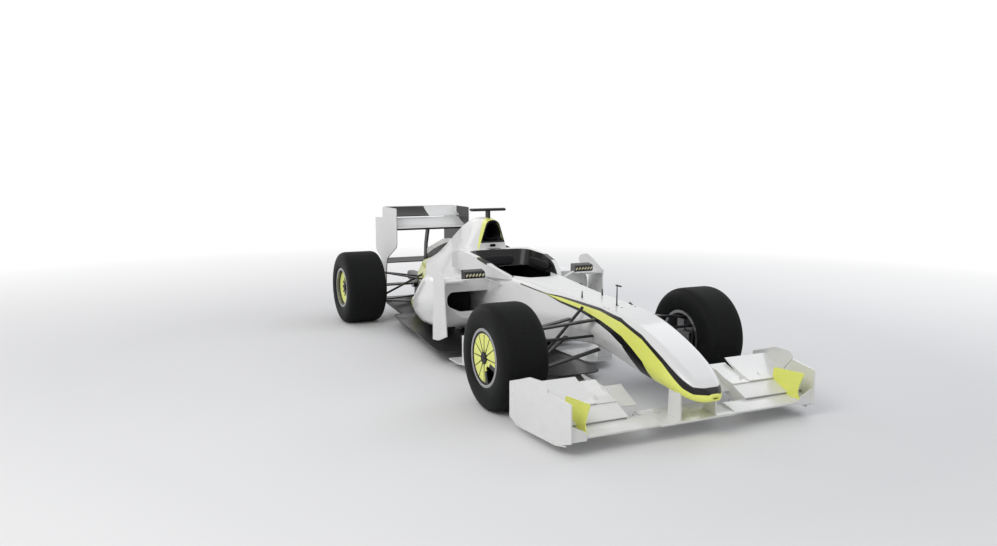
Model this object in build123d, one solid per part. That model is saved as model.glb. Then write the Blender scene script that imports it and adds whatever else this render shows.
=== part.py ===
from build123d import *
from math import hypot, radians, sin, tan
import os

# Open wheel racing car, in millimetres. +X is forward, +Y is the driver's left, +Z is up.
# The origin is on the ground, on the centreline, half way between the nose tip and the tail.
# A station is a distance ahead of the front axle, so what lies behind that axle is negative.

# Overall lengths
wheelbase = 3150
nose_overhang = 1080
tail_overhang = 480
overall_length = nose_overhang + wheelbase + tail_overhang
front_axle_x = overall_length / 2 - nose_overhang
rear_axle = -wheelbase

# Wheels and tyres
wheel_radius = 330
front_tyre_width = 308
rear_tyre_width = 361
front_wheel_y = 739
rear_wheel_y = 702
rim_radius = 172
rim_wall = 9
tyre_bead_clearance = 0.3
axle_height = wheel_radius
hub_radius = 46
spoke_count = 10
spoke_width = 17
spoke_thickness = 20
axle_bore_radius = 21
axle_clearance = 0.08
wheel_cover_radius = 158
wheel_cover_thickness = 5
wheel_cover_inset = 22
front_face_depth = 40
rear_face_depth = 62

# Steering
kingpin_y = 628
steering_arm = 95
steering_arm_height = 420
track_rod_radius = 9
track_rod_eye = 17
track_rod_pin = 6
track_rod_eye_height = 15
kingpin_radius = 8
lower_ball_height = 188
upper_ball_height = 466
ball_eye_radius = 22
rack_height = steering_arm_height
column_radius = 16
column_height = 560
column_front = 600
column_rear = 985
steering_wheel_thickness = 24

# Wishbones: thickness and chord of each arm, and the ball that ends it
arm_chord = 44
arm_thickness = 14
rod_radius = 10
arm_slot_room = 12
driveline_room = 60
seat_gap = 0.3

# Ride height and floor
reference_plane = 50
floor_thickness = 8
step_height = 46
plank_thickness = 10
plank_half_width = 150
keel_half_width = 250
floor_half_width = 690
splitter_station = -330
side_floor_station = -1120
floor_rear = rear_axle + 340
floor_rear_half_width = 470
diffuser_rear = rear_axle - 250
diffuser_half_width = 352
diffuser_height = 172

# Monocoque and nose
nose_joint = 150
tub_rear = -1950
tub_wall = 12
cockpit_front = -890
cockpit_rear = -1600
cockpit_half_width = 232
tub_floor = reference_plane + floor_thickness
surround_half_width = 312
surround_rim = 26
surround_rear = -1890
foot_low = tub_floor + seat_gap

# Engine and gearbox
engine_length = 580
engine_half_width = 205
engine_height = 330
gearbox_rear = rear_axle - 150
gearbox_half_width = 92

# Body panels
panel_wall = 7
fin_thickness = 8
cover_front = -1700
cover_rear = rear_axle - 40
pod_front = -1235
pod_rear = rear_axle + 330

# Front wing
wing_half_span = 843
wing_leading_edge = 955
wing_height = 92
flap_step_y = 545
plate_flare = 57
inner_plate_y = 742
plate_thickness = 7
fence_y = 413

# Rear wing
rear_wing_half_span = 375
rear_plate_thickness = 10
rear_wing_top = 1062


def at(station):
    """The row's x of a station."""
    return front_axle_x + station


def corner_arcs(points, radii):
    """Edges of a closed outline of 3-D corners, each corner rounded by its radius or what its sides allow."""
    count = len(points)
    corners = [Vector(*p) for p in points]
    ends = []
    for i, corner in enumerate(corners):
        before = corners[i - 1] - corner
        after = corners[(i + 1) % count] - corner
        half_angle = radians(before.get_angle(after)) / 2
        room = 0.48 * min(before.length, after.length)
        reach = min(radii[i] / tan(half_angle), room)
        start = corner + before.normalized() * reach
        stop = corner + after.normalized() * reach
        radius = reach * tan(half_angle)
        middle = (before.normalized() + after.normalized()).normalized()
        top = corner + middle * (radius / sin(half_angle) - radius)
        ends.append((start, top, stop))
    edges = []
    for i, (start, top, stop) in enumerate(ends):
        edges.append(Edge.make_three_point_arc(start, top, stop))
        edges.append(Edge.make_line(stop, ends[(i + 1) % count][0]))
    return edges


def inset(outline, distance):
    """A closed (y, z) outline with every side moved inwards; its corners run anticlockwise seen from +X."""
    count = len(outline)
    moved = []
    for i in range(count):
        (y0, z0), (y1, z1) = outline[i], outline[(i + 1) % count]
        length = hypot(y1 - y0, z1 - z0)
        side = ((y1 - y0) / length, (z1 - z0) / length)
        inwards = (-side[1] * distance, side[0] * distance)
        moved.append(((y0 + inwards[0], z0 + inwards[1]), side))
    result = []
    for i in range(count):
        (ay, az), (ady, adz) = moved[i - 1]
        (by, bz), (bdy, bdz) = moved[i]
        cross = ady * bdz - adz * bdy
        along = ((by - ay) * bdz - (bz - az) * bdy) / cross
        result.append((ay + ady * along, az + adz * along))
    return result


def loft_sections(sections, radii, distance=0):
    """A solid through (station, outline) sections, each outline moved inwards by a distance."""
    wires = []
    for station, outline in sections:
        flat = inset(outline, distance) if distance else outline
        points = [(at(station), y, z) for y, z in flat]
        rounded = [max(r - distance, 2) for r in radii]
        wires.append(Wire(corner_arcs(points, rounded)))
    return Solid.make_loft(wires)


def mirrored(outline):
    """A left half outline, from the bottom up, closed by its mirror image."""
    return [(-y, z) for y, z in outline[:1]] + list(outline) + [(-y, z) for y, z in reversed(outline[1:])]


def block(x0, x1, y0, y1, z0, z1):
    """A box between two stations, two widths and two heights."""
    size = (abs(x1 - x0), abs(y1 - y0), abs(z1 - z0))
    centre = (at((x0 + x1) / 2), (y0 + y1) / 2, (z0 + z1) / 2)
    return Pos(*centre) * Box(*size)


def plan_prism(points, z0, z1):
    """A prism on a closed plan outline of (station, y) corners."""
    wire = Wire.make_polygon([(at(x), y, z0) for x, y in points], close=True)
    return Solid.extrude(Face(wire), Vector(0, 0, z1 - z0))


def side_prism(points, y0, y1):
    """A prism on a closed side outline of (station, z) corners."""
    wire = Wire.make_polygon([(at(x), y0, z) for x, z in points], close=True)
    return Solid.extrude(Face(wire), Vector(0, y1 - y0, 0))


def rounded_side_prism(points, radii, y0, y1):
    """As side_prism, with each corner rounded."""
    wire = Wire(corner_arcs([(at(x), y0, z) for x, z in points], radii))
    return Solid.extrude(Face(wire), Vector(0, y1 - y0, 0))


def plan_wire(points, radii, z):
    """A closed plan outline of (station, y) corners at a height, each corner rounded."""
    return Wire(corner_arcs([(at(x), y, z) for x, y in points], radii))


def mirrored_plan(points):
    """The left half of a plan outline, from the front back, closed by its mirror image."""
    return list(points) + [(x, -y) for x, y in reversed(points)]


def rounded_plan_prism(points, radii, z0, z1):
    """As plan_prism, with each corner rounded."""
    return Solid.extrude(Face(plan_wire(points, radii, z0)), Vector(0, 0, z1 - z0))


def cross_prism(points, radii, station, depth):
    """A prism on a closed outline of (y, z) corners, each corner rounded, running back from a station."""
    wire = Wire(corner_arcs([(at(station), y, z) for y, z in points], radii))
    return Solid.extrude(Face(wire), Vector(-depth, 0, 0))


def upright_bar(radius, station, y, low, high):
    """A round bar standing between two heights."""
    plane = Plane(origin=(at(station), y, low))
    return Solid.extrude(Face(Wire.make_circle(radius, plane)), Vector(0, 0, high - low))


def largest(shape):
    """The largest solid of a shape that a cut left in several."""
    return max(shape.solids(), key=lambda s: s.volume)


def tube_between(a, b, radius):
    """A round rod between two (station, y, z) points."""
    start = Vector(at(a[0]), a[1], a[2])
    stop = Vector(at(b[0]), b[1], b[2])
    plane = Plane(origin=start, z_dir=(stop - start))
    return Solid.extrude(Face(Wire.make_circle(radius, plane)), stop - start)


def blade_between(a, b, chord=arm_chord, thickness=arm_thickness):
    """A flat streamlined arm between two (station, y, z) points, its chord along the car."""
    start = Vector(at(a[0]), a[1], a[2])
    stop = Vector(at(b[0]), b[1], b[2])
    along = (stop - start).normalized()
    forward = (Vector(1, 0, 0) - along * along.X).normalized()
    plane = Plane(origin=start, x_dir=forward, z_dir=along)
    outline = plane * SlotOverall(chord, thickness)
    return Solid.extrude(outline.faces()[0], stop - start)


def turned(profile, y, station):
    """A solid of revolution about a wheel's axle: profile is (radius, offset from the wheel's centre)."""
    wire = Wire.make_polygon([(at(station) + r, y + o, axle_height) for r, o in profile], close=True)
    axis = Axis((at(station), y, axle_height), (0, 1, 0))
    return Solid.revolve(Face(wire), 360, axis)


def disc(radius, y0, y1, station, height=axle_height):
    """A round disc across the car."""
    plane = Plane(origin=(at(station), y0, height), z_dir=(0, 1, 0))
    return Solid.extrude(Face(Wire.make_circle(radius, plane)), Vector(0, y1 - y0, 0))


def aerofoil(nose, tail, thickness, y0, y1, camber=0.0):
    """A wing element between two widths; nose and tail are (station, z), and camber sags its middle."""
    length = hypot(tail[0] - nose[0], tail[1] - nose[1])
    along = ((tail[0] - nose[0]) / length, (tail[1] - nose[1]) / length)
    half = thickness / 2

    def place(share, height):
        x = nose[0] + along[0] * share * length + along[1] * height
        z = nose[1] + along[1] * share * length - along[0] * height
        return Vector(at(x), y0, z)

    top = [place(0.02, half * 0.55), place(0.35, half - camber), place(1, 1.5)]
    low = [place(0.02, -half * 0.55), place(0.35, -half - camber), place(1, -1.5)]
    tip = Vector(at(nose[0]), y0, nose[1])
    edges = [
        Edge.make_three_point_arc(top[0], top[1], top[2]),
        Edge.make_line(top[2], low[2]),
        Edge.make_three_point_arc(low[2], low[1], low[0]),
        Edge.make_three_point_arc(low[0], tip, top[0]),
    ]
    return Solid.extrude(Face(Wire(edges)), Vector(0, y1 - y0, 0))


# Survival cell and nose: one skin, split at the nose joint

body_sections = [
    # station, half width low, z low, half width waist, z waist, half width high, z high
    (nose_overhang, 22, 236, 36, 247, 24, 262),
    (nose_overhang - 35, 60, 222, 74, 247, 56, 290),
    (1000, 90, 222, 108, 254, 88, 321),
    (850, 124, 244, 150, 294, 120, 413),
    (650, 128, 268, 164, 345, 124, 504),
    (400, 122, 302, 174, 420, 130, 577),
    (nose_joint, 128, 345, 186, 470, 132, 603),
    (-400, 150, 290, 216, 470, 156, 634),
    (cockpit_front, 192, 190, 262, 460, 204, 662),
    (-1290, 220, 64, 284, 440, 246, 668),
    (-1600, 224, 54, 290, 420, 250, 672),
    (tub_rear, 224, 54, 290, 420, 236, 676),
]
body_radii = [45, 45, 110, 50, 50, 110]


def half_outline(row):
    """The closed outline of a table row of low, waist and high corners."""
    _, y_low, z_low, y_waist, z_waist, y_high, z_high = row
    return mirrored([(y_low, z_low), (y_waist, z_waist), (y_high, z_high)])


def body_loft(distance=0):
    """The skin of nose and survival cell as one solid, or what lies inside it."""
    return loft_sections([(row[0], half_outline(row)) for row in body_sections], body_radii, distance)


def make_monocoque():
    """The survival cell: a closed tub with the driver's opening and holes for the track rods."""
    cell = block(nose_joint, tub_rear, -400, 400, tub_floor + seat_gap, 900)
    outer = body_loft() & cell
    low = tub_floor + seat_gap + tub_wall
    room = body_loft(tub_wall) & block(nose_joint - tub_wall, tub_rear + tub_wall, -400, 400, low, 900)
    width = cockpit_half_width
    outline = mirrored_plan([(cockpit_front, 90), (cockpit_front - 260, width), (cockpit_rear, width)])
    opening = rounded_plan_prism(outline, [60, 160, 60, 60, 160, 60], 560, 900)
    rod_hole = tube_between((steering_arm, -400, rack_height), (steering_arm, 400, rack_height),
                            track_rod_radius + seat_gap)
    return outer - room - opening - rod_hole


def make_nose():
    """The nose cone ahead of the survival cell, with its cooling slot under the tip."""
    slot = block(nose_overhang - 60, nose_overhang + 20, -18, 18, 243, 252)
    return body_loft() & block(nose_joint + seat_gap, nose_overhang + 20, -400, 400, 0, 900) - slot


def make_head_surround():
    """The horseshoe round the driver's head: its inner face slopes out, its back flanks the air intake."""
    side_corners = [
        (-950, 645), (-975, 672), (-1180, 742), (-1340, 776), (-1520, 790),
        (-1700, 800), (-1850, 762), (surround_rear, 690), (surround_rear, 645),
    ]
    side = rounded_side_prism(side_corners, [3, 30, 90, 90, 60, 120, 60, 30, 3], -330, 330)
    plan_corners = [
        (-950, 218), (-1150, 292), (-1380, surround_half_width),
        (-1700, surround_half_width), (surround_rear, 296),
    ]
    plan_radii = [10, 120, 120, 60, 40, 40, 60, 120, 120, 10]
    plan = rounded_plan_prism(mirrored_plan(plan_corners), plan_radii, 640, 810)
    return (side & plan) - surround_funnel() - body_loft(-seat_gap) - cover_loft(-seat_gap)


def surround_funnel():
    """The room inside the horseshoe, wider at its top."""
    inner = surround_half_width - surround_rim
    low_corners = [(-900, 150), (-1120, 212), (-1330, 226), (-1560, 206)]
    high_corners = [(-900, 214), (-1120, 276), (-1350, inner), (-1624, inner - 20)]
    low = plan_wire(mirrored_plan(low_corners), [10, 90, 90, 100, 100, 90, 90, 10], 640)
    high = plan_wire(mirrored_plan(high_corners), [10, 90, 90, 120, 120, 90, 90, 10], 810)
    return Solid.make_loft([low, high])


def make_cockpit_bulkhead():
    """The dash bulkhead across the tub, with the bush that carries the steering column."""
    wall = block(-596, -606, -300, 300, 150, 700) & body_loft(tub_wall + seat_gap)
    bush = column_cylinder(column_radius + 14, column_front - 12, column_front + 30)
    bore = column_cylinder(column_radius + axle_clearance, column_front - 80, column_front + 80)
    return wall + bush - bore


def make_seat():
    """The driver's seat shell, lying in the tub."""
    outline = [
        (-1010, 236), (-1120, 150), (-1300, 96), (-1400, 120), (-1580, 470),
        (-1592, 462), (-1410, 108), (-1300, 84), (-1112, 138), (-1000, 226),
    ]
    shell = rounded_side_prism(outline, [3, 60, 60, 60, 4, 4, 70, 70, 70, 3], -230, 230)
    return shell & body_loft(tub_wall + seat_gap)


# Steering wheel: its column runs level along the car

def column_cylinder(radius, start, stop):
    """A round bar on the column's axis between two distances behind the front axle."""
    plane = Plane(origin=(at(-start), 0, column_height), z_dir=(-1, 0, 0))
    return Solid.extrude(Face(Wire.make_circle(radius, plane)), Vector(start - stop, 0, 0))


def wheel_plate(points, radii):
    """A plate as thick as the steering wheel, on (y, z) corners about the column."""
    corners = [(y, column_height + z) for y, z in points]
    return cross_prism(corners, radii, -column_rear, steering_wheel_thickness)


def make_steering_wheel():
    """The flat-topped steering wheel with its display panel, two grips and its column."""
    outline = [(-135, 20), (-118, 70), (118, 70), (135, 20), (118, -62), (60, -74), (-60, -74), (-118, -62)]
    wheel = wheel_plate(outline, [14, 22, 22, 14, 20, 20, 20, 20])
    for side in (1, -1):
        hole = [(side * 72, 34), (side * 106, 34), (side * 106, -40), (side * 72, -40)]
        wheel = wheel - wheel_plate(hole, [12, 12, 12, 12])
    column = column_cylinder(column_radius, column_front - 24, column_rear)
    boss = column_cylinder(30, column_rear - 24, column_rear)
    return wheel + column + boss


# Sidepods and engine cover

pod_sections = [
    # station, half width low, z low, half width side, z side, half width shoulder, z shoulder
    (pod_front, 480, 330, 640, 470, 610, 642),
    (-1400, 590, 236, 694, 430, 622, 640),
    (-1650, 600, 214, 700, 400, 606, 620),
    (-1950, 520, 176, 640, 340, 510, 566),
    (-2250, 396, 150, 520, 290, 392, 470),
    (-2550, 300, 130, 410, 240, 300, 380),
    (pod_rear, 236, 124, 330, 206, 232, 300),
]
pod_radii = [110, 110, 170, 90, 90, 170]
cover_sections = [
    # station, half width low, z low, half width side, z side, half width high, z high
    (cover_front, 240, 640, 126, 792, 50, 1030),
    (-1990, 264, 520, 158, 786, 52, 1032),
    (-2370, 270, 380, 166, 650, 50, 874),
    (-2720, 226, 310, 152, 512, 46, 696),
    (-3030, 150, 350, 112, 452, 40, 592),
    (cover_rear, 110, 390, 88, 440, 34, 552),
]
cover_radii = [20, 20, 90, 60, 60, 90]
intake_corners = [(99, 860), (41, 1021), (-41, 1021), (-99, 860)]
vent_corners = [(30, 812), (24, 834), (-24, 834), (-30, 812)]


def pod_loft(distance=0):
    """Both sidepods' skin as one solid, or what lies inside it."""
    return loft_sections([(row[0], half_outline(row)) for row in pod_sections], pod_radii, distance)


def cover_loft(distance=0):
    """The engine cover's skin as a solid, or what lies inside it."""
    return loft_sections([(row[0], half_outline(row)) for row in cover_sections], cover_radii, distance)


def make_sidepod(side):
    """One sidepod: an open shell with its air inlet, cut clear of the tub and the engine cover."""
    half = block(pod_front + 10, pod_rear - 10, side * (engine_half_width + 6), side * 800, 0, 900)
    inside = pod_loft(panel_wall) & block(pod_front - panel_wall, pod_rear - 10, -800, 800, 0, 900)
    neck = block(pod_front, tub_rear - seat_gap, side * 20, side * 300, 0, 900) & body_loft(-seat_gap)
    shell = (pod_loft() - inside) & half
    return shell - neck - cover_loft(-seat_gap) - inlet_prism(side)


def inlet_prism(side):
    """The sidepod's air inlet, a long round-cornered cut from the front, open to the tub's side."""
    corners = [(240, 384), (500, 384), (600, 432), (604, 500), (570, 536), (240, 536)]
    outline = [(side * y, z) for y, z in corners]
    return cross_prism(outline, [20, 90, 50, 40, 40, 20], pod_front + 20, 20 + panel_wall * 4)


def make_radiator(side):
    """The radiator core standing in the sidepod behind its inlet."""
    corners = [(-1480, side * 310), (-1530, side * 310), (-1700, side * 680), (-1650, side * 680)]
    core = plan_prism(corners, 100, 700)
    return (core & pod_loft(panel_wall + seat_gap)) - body_loft(-seat_gap)


def make_engine_cover():
    """The engine cover: a hollow shell whose front is the tall air intake, with a small vent below it."""
    inside = cover_loft(panel_wall) & block(cover_front - panel_wall, cover_rear - 10, -400, 400, 0, 1200)
    intake = cross_prism(intake_corners, [16, 70, 70, 16], cover_front + 10, 40)
    vent = cross_prism(vent_corners, [9, 9, 9, 9], cover_front + 10, 40)
    shell = cover_loft() - inside - inside.moved(Location((0, 0, -80))) - intake - vent
    shell = shell - body_loft(-seat_gap) - gearbox_case(-seat_gap)
    for side in (1, -1):
        shell = shell - rear_links(side, arm_slot_room)
        shell = shell - disc(driveline_room, side * 80, side * 400, rear_axle)
    return largest(shell) + tail_fin()


def tail_fin():
    """The thin fin that runs on from the cover's spine over its tail."""
    corners = [(-2560, 770), (-2600, 806), (-2760, 790), (-3174, 662), (-3174, 575), (-3000, 560)]
    fin = rounded_side_prism(corners, [3, 20, 60, 6, 6, 3], -fin_thickness / 2, fin_thickness / 2)
    return fin - cover_loft(panel_wall / 2)


def make_camera_pod():
    """The camera bar on its stem, standing on the air intake."""
    stem = rounded_plan_prism([(-1760, 9), (-1830, 9), (-1830, -9), (-1760, -9)], [8, 8, 8, 8], 1025, 1106)
    bar = aerofoil((-1765, 1110), (-1835, 1112), 24, -150, 150)
    return stem + bar - cover_loft(-seat_gap)


# Engine, gearbox and crash structure

def make_engine():
    """The engine as one plain block behind the tub."""
    front = tub_rear - seat_gap
    rear = tub_rear - engine_length
    return block(front, rear, -engine_half_width, engine_half_width, tub_floor, tub_floor + engine_height)


def make_gearbox():
    """The gearbox case, tapering back from the engine."""
    return gearbox_case()


def gearbox_case(distance=0):
    """The gearbox's solid, or that solid moved inwards by a distance."""
    front = tub_rear - engine_length - seat_gap
    rows = [(front, 190, 90, 360), (-2900, 120, 110, 400), (gearbox_rear, gearbox_half_width, 170, 400)]
    outlines = [(x, mirrored([(y, low), (y, high)])) for x, y, low, high in rows]
    return loft_sections(outlines, [30, 30, 30, 30], distance)


def make_crash_structure():
    """The crash structure behind the gearbox, with the rain light's housing at its end."""
    rows = [(gearbox_rear - seat_gap, 70, 250, 380), (-tail_overhang - wheelbase, 44, 300, 390)]
    outlines = [(x, mirrored([(y, low), (y, high)])) for x, y, low, high in rows]
    return loft_sections(outlines, [25, 25, 25, 25])


# Floor, plank and diffuser

def make_floor():
    """The stepped floor: a low keel with its splitter, and raised sides."""
    low = reference_plane
    keel = mirrored_plan([(splitter_station, 190), (-700, keel_half_width), (floor_rear, keel_half_width)])
    floor = rounded_plan_prism(keel, [90, 60, 3, 3, 60, 90], low, low + floor_thickness)
    inner = keel_half_width - floor_thickness
    step = low + step_height
    top = step + floor_thickness
    edge = [
        (side_floor_station, inner), (side_floor_station, 560), (side_floor_station - 90, floor_half_width),
        (-1610, 640), (-2010, 585), (-2430, 550), (floor_rear, floor_rear_half_width), (floor_rear, inner),
    ]
    for side in (1, -1):
        plate = rounded_plan_prism([(x, side * y) for x, y in edge], [3, 40, 90, 60, 60, 60, 3, 3], step, top)
        riser = block(side_floor_station, floor_rear, side * inner, side * keel_half_width, low, top)
        floor = floor + plate + riser
    return floor


def make_plank():
    """The wear plank under the keel."""
    outline = mirrored_plan([(splitter_station - 40, plank_half_width), (floor_rear, plank_half_width)])
    return rounded_plan_prism(outline, [60, 3, 3, 60], reference_plane - plank_thickness, reference_plane)


def make_diffuser():
    """The diffuser: a rising roof behind the floor, with its fences and side walls."""
    front = floor_rear - seat_gap
    rear = diffuser_rear
    half = diffuser_half_width
    low = reference_plane
    slope = [
        (front, low), (front, low + floor_thickness),
        (rear, diffuser_height), (rear, diffuser_height - floor_thickness),
    ]
    fence = [(front, low), (rear, low + 55), (rear, diffuser_height - 4)]
    roof = side_prism(slope, -half, half)
    for y in (-half, -half / 3, half / 3, half - plate_thickness):
        roof = roof + side_prism(fence, y, y + plate_thickness)
    return roof


# Sidepod vanes, bargeboards and mirrors

def make_pod_vane(side):
    """The tall waisted vane ahead of the sidepod, with its round ear and the wing that joins it to the pod."""
    outline = [
        (-1088, 656), (-1098, 590), (-1080, 400), (-1056, 240), (-1212, 184), (-1326, 172), (-1316, 400),
        (-1300, 560), (-1314, 646), (-1391, 656), (-1462, 694), (-1440, 740), (-1330, 764), (-1200, 712),
    ]
    radii = [6, 60, 200, 6, 200, 6, 200, 60, 10, 60, 24, 50, 90, 60]
    vane = rounded_side_prism(outline, radii, side * 676, side * 684)
    corners = [(-1096, side * 470), (-1096, side * 684), (-1234.7, side * 684), (-1234.7, side * 470)]
    wing = rounded_plan_prism(corners, [30, 3, 3, 3], 628, 640)
    return vane + wing - pod_loft(-seat_gap)


def make_bargeboard(side):
    """The curved turning vane between the front wheel and the sidepod."""
    board = [
        (-600, 330), (-640, 470), (-800, 560), (-950, 600),
        (-950, 607), (-798, 567), (-634, 477), (-593, 330),
    ]
    tray = [(-560, 225), (-600, 470), (-930, 640), (-1119, 640), (-1119, 225)]
    height = [(-560, 40), (-560, 130), (-700, 290), (-800, 300), (-960, 262), (-960, 40)]
    plan = plan_prism([(x, side * y) for x, y in board], foot_low + 2, 300)
    profile = side_prism(height, side * 100, side * 700)
    foot = rounded_plan_prism([(x, side * y) for x, y in tray], [60, 80, 60, 4, 4], foot_low, foot_low + 8)
    stay = tube_between((-700, side * 235, 250), (-700, side * 512, 230), 6)
    return (plan & profile) + foot + stay - body_loft(-seat_gap)


def make_mirror(side):
    """One mirror housing on its stalk, hollow towards the driver."""
    case = [(-1030, 662), (-1030, 708), (-1100, 724), (-1100, 650)]
    room = [(-1090, 659), (-1090, 716), (-1110, 716), (-1110, 659)]
    housing = rounded_side_prism(case, [22, 22, 8, 8], side * 385, side * 545)
    pocket = rounded_side_prism(room, [3, 3, 3, 3], side * 392, side * 538)
    stalk = blade_between((-1060, side * 240, 596), (-1062, side * 400, 668), 34, 9)
    return housing - pocket + (stalk - body_loft(-seat_gap))


# Front wing

def make_front_main_plane():
    """The wing's main plane across the car, its middle flat and its outer parts raised."""
    return main_plane_middle() + main_plane_outer(1) + main_plane_outer(-1)


def make_front_flap(side):
    """Two stacked flaps outside a tall fence, the upper one stepped down inboard, and one flap inside it."""
    corners = [(925, wing_height + 8), (600, 250), (390, 268), (372, 262), (520, 200), (690, 128), (760, 100)]
    fence = side_prism(corners, side * fence_y, side * (fence_y + 6))
    inner = aerofoil((720, 150), (560, 232), 14, side * 262, side * fence_y, 6)
    flaps = fence + lower_flap(side) + upper_flap(side) + inner
    return flaps - main_plane_outer(side, seat_gap) - main_plane_middle(seat_gap)


def between_plates(element, side):
    """What of a wing element lies inside the endplate of its side."""
    near = wing_half_span - plate_thickness - seat_gap
    far = wing_half_span + plate_flare - plate_thickness - seat_gap
    edge = [(1000, 0), (1000, near), (972, near), (772, far - 34), (560, far - 8), (388, far), (388, 0)]
    return element & plan_prism([(x, side * y) for x, y in edge], 0, 400)


def lower_flap(side, room=0):
    """The lower flap, grown by a room."""
    flap = aerofoil((858 + room, 138), (716, 204), 13 + 2 * room, side * fence_y, side * 900, 5)
    return between_plates(flap, side)


def upper_flap(side, room=0):
    """The upper flap, higher outside its step, grown by a room."""
    outer = aerofoil((746 + room, 200), (515, 296), 15 + 2 * room, side * flap_step_y, side * 900, 8)
    step = aerofoil((746 + room, 196), (518, 266), 15 + 2 * room, side * fence_y, side * flap_step_y, 8)
    return between_plates(outer + step, side)


def main_plane_middle(room=0):
    """The flat middle of the main plane, grown by a room."""
    return aerofoil((wing_leading_edge, wing_height), (690, 100), 26 + 2 * room, -260, 260)


def main_plane_outer(side, room=0):
    """One raised outer part of the main plane, grown by a room."""
    nose = (wing_leading_edge - 8 + room, wing_height)
    plane = aerofoil(nose, (838, 128), 24 + 2 * room, side * 258, side * 900, 3)
    return between_plates(plane, side)


def front_plate(side):
    """The endplate's front plate, which flares out towards the wheel."""
    outer = wing_half_span
    widest = wing_half_span + plate_flare
    edge = [
        (972, outer), (560, widest), (520, widest),
        (520, widest - plate_thickness), (560, widest - plate_thickness), (972, outer - plate_thickness),
    ]
    height = [(972, 80), (968, 288), (700, 314), (660, 306), (540, 50), (880, 50)]
    plan = plan_prism([(x, side * y) for x, y in edge], 40, 400)
    return plan & rounded_side_prism(height, [12, 8, 8, 8, 4, 30], side * 800, side * 920)


def rear_plate(side):
    """The endplate's humped rear plate."""
    widest = wing_half_span + plate_flare
    edge = [
        (388, widest), (560, widest - 8), (772, widest - 34),
        (772, widest - 41), (560, widest - 15), (388, widest - 7),
    ]
    height = [
        (388, 76), (388, 283), (500, 318), (600, 352), (743, 356),
        (772, 318), (700, 250), (580, 50), (470, 50),
    ]
    plan = plan_prism([(x, side * y) for x, y in edge], 40, 400)
    return plan & rounded_side_prism(height, [6, 8, 60, 60, 40, 20, 30, 4, 60], side * 800, side * 920)


def make_endplate(side):
    """One endplate: its flared front plate, its humped rear plate, its footplate and its inner plate."""
    outer = wing_half_span
    widest = wing_half_span + plate_flare
    edge = [
        (930, outer - 6), (870, outer + 34), (560, widest),
        (462, widest), (462, widest - 12), (560, widest - 18),
    ]
    foot = rounded_plan_prism([(x, side * y) for x, y in edge], [3, 16, 60, 3, 3, 3], 50, 56)
    return front_plate(side) + rear_plate(side) + foot + inner_plate(side)


def inner_plate(side):
    """The small waisted plate beside the endplate, and the lip that joins the two along the leading edge."""
    inner = inner_plate_y - 6
    outline = [(957, 96), (940, 168), (962, 228), (987, 282), (740, 268), (735, 190), (770, 96)]
    plate = rounded_side_prism(outline, [3, 60, 60, 6, 20, 20, 3], side * inner, side * inner_plate_y)
    corners = [(wing_half_span, 80), (wing_half_span, 176), (inner, 124), (inner, 80)]
    wire = Wire.make_polygon([(at(956), side * y, z) for y, z in corners], close=True)
    lip = Solid.extrude(Face(wire), Vector(-plate_thickness, 0, 0))
    cut = plate - main_plane_outer(side, seat_gap) - lower_flap(side, seat_gap) - upper_flap(side, seat_gap)
    return largest(cut) + (lip - main_plane_outer(side, seat_gap))


def make_wing_pylons():
    """The two pylons that hang the wing under the nose."""
    pylons = []
    for side in (1, -1):
        post = side_prism([(944, 80), (930, 330), (838, 330), (830, 80)], side * 118, side * 128)
        pylons.append(largest(post - body_loft(-seat_gap) - main_plane_middle(seat_gap)))
    return Compound(children=pylons)


# Rear wing

def make_rear_main_plane():
    """The rear wing's main plane between its endplates."""
    half = rear_wing_half_span - rear_plate_thickness - seat_gap
    return aerofoil((-3022, 872), (-3250, 958), 34, -half, half, 26)


def make_rear_flap():
    """The flap behind the main plane."""
    half = rear_wing_half_span - rear_plate_thickness - seat_gap
    return aerofoil((-3236, 972), (-3392, 1058), 18, -half, half, 10)


def make_beam_wing():
    """The beam wing across the crash structure."""
    half = rear_wing_half_span - rear_plate_thickness - seat_gap
    return aerofoil((-3300, 520), (-3440, 552), 18, -half, half, 6)


def make_rear_endplate(side):
    """One rear endplate, with its step at the top and the leg that reaches the diffuser."""
    outline = [
        (-3010, 700), (-3010, rear_wing_top), (-3402, rear_wing_top), (-3410, 958),
        (-3628, 948), (-3628, 620), (-3480, 560), (-3400, 380),
        (-3392, 120), (-3340, 120), (-3330, 400), (-3300, 560),
    ]
    radii = [60, 14, 10, 10, 20, 60, 60, 60, 4, 4, 60, 60]
    inner = rear_wing_half_span - rear_plate_thickness
    return rounded_side_prism(outline, radii, side * inner, side * rear_wing_half_span)


def make_wing_pylon():
    """The centre post between the crash structure, the beam wing and the rear wing."""
    outline = [(-3180, 430), (-3180, 700), (-3110, 900), (-3170, 930), (-3240, 700), (-3260, 430)]
    post = side_prism(outline, -8, 8)
    plane = aerofoil((-3022, 872), (-3250, 958), 34 + 2 * seat_gap, -60, 60, 26)
    return largest(post - plane - cover_loft(-seat_gap) - gearbox_case(-seat_gap))


# Suspension: every arm is fixed to the tub or the gearbox

front_arms = [
    # inner station, inner y, inner z, outer y, outer z
    (123, 130, 338, kingpin_y, lower_ball_height),
    (-250, 150, 352, kingpin_y, lower_ball_height),
    (126, 170, 530, kingpin_y, upper_ball_height),
    (-140, 190, 492, kingpin_y, upper_ball_height),
]
rear_arms = [
    (-2860, 110, 190, 540, 186),
    (-3270, 80, 190, 540, 186),
    (-2890, 110, 390, 540, 466),
    (-3285, 80, 380, 540, 466),
]


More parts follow.
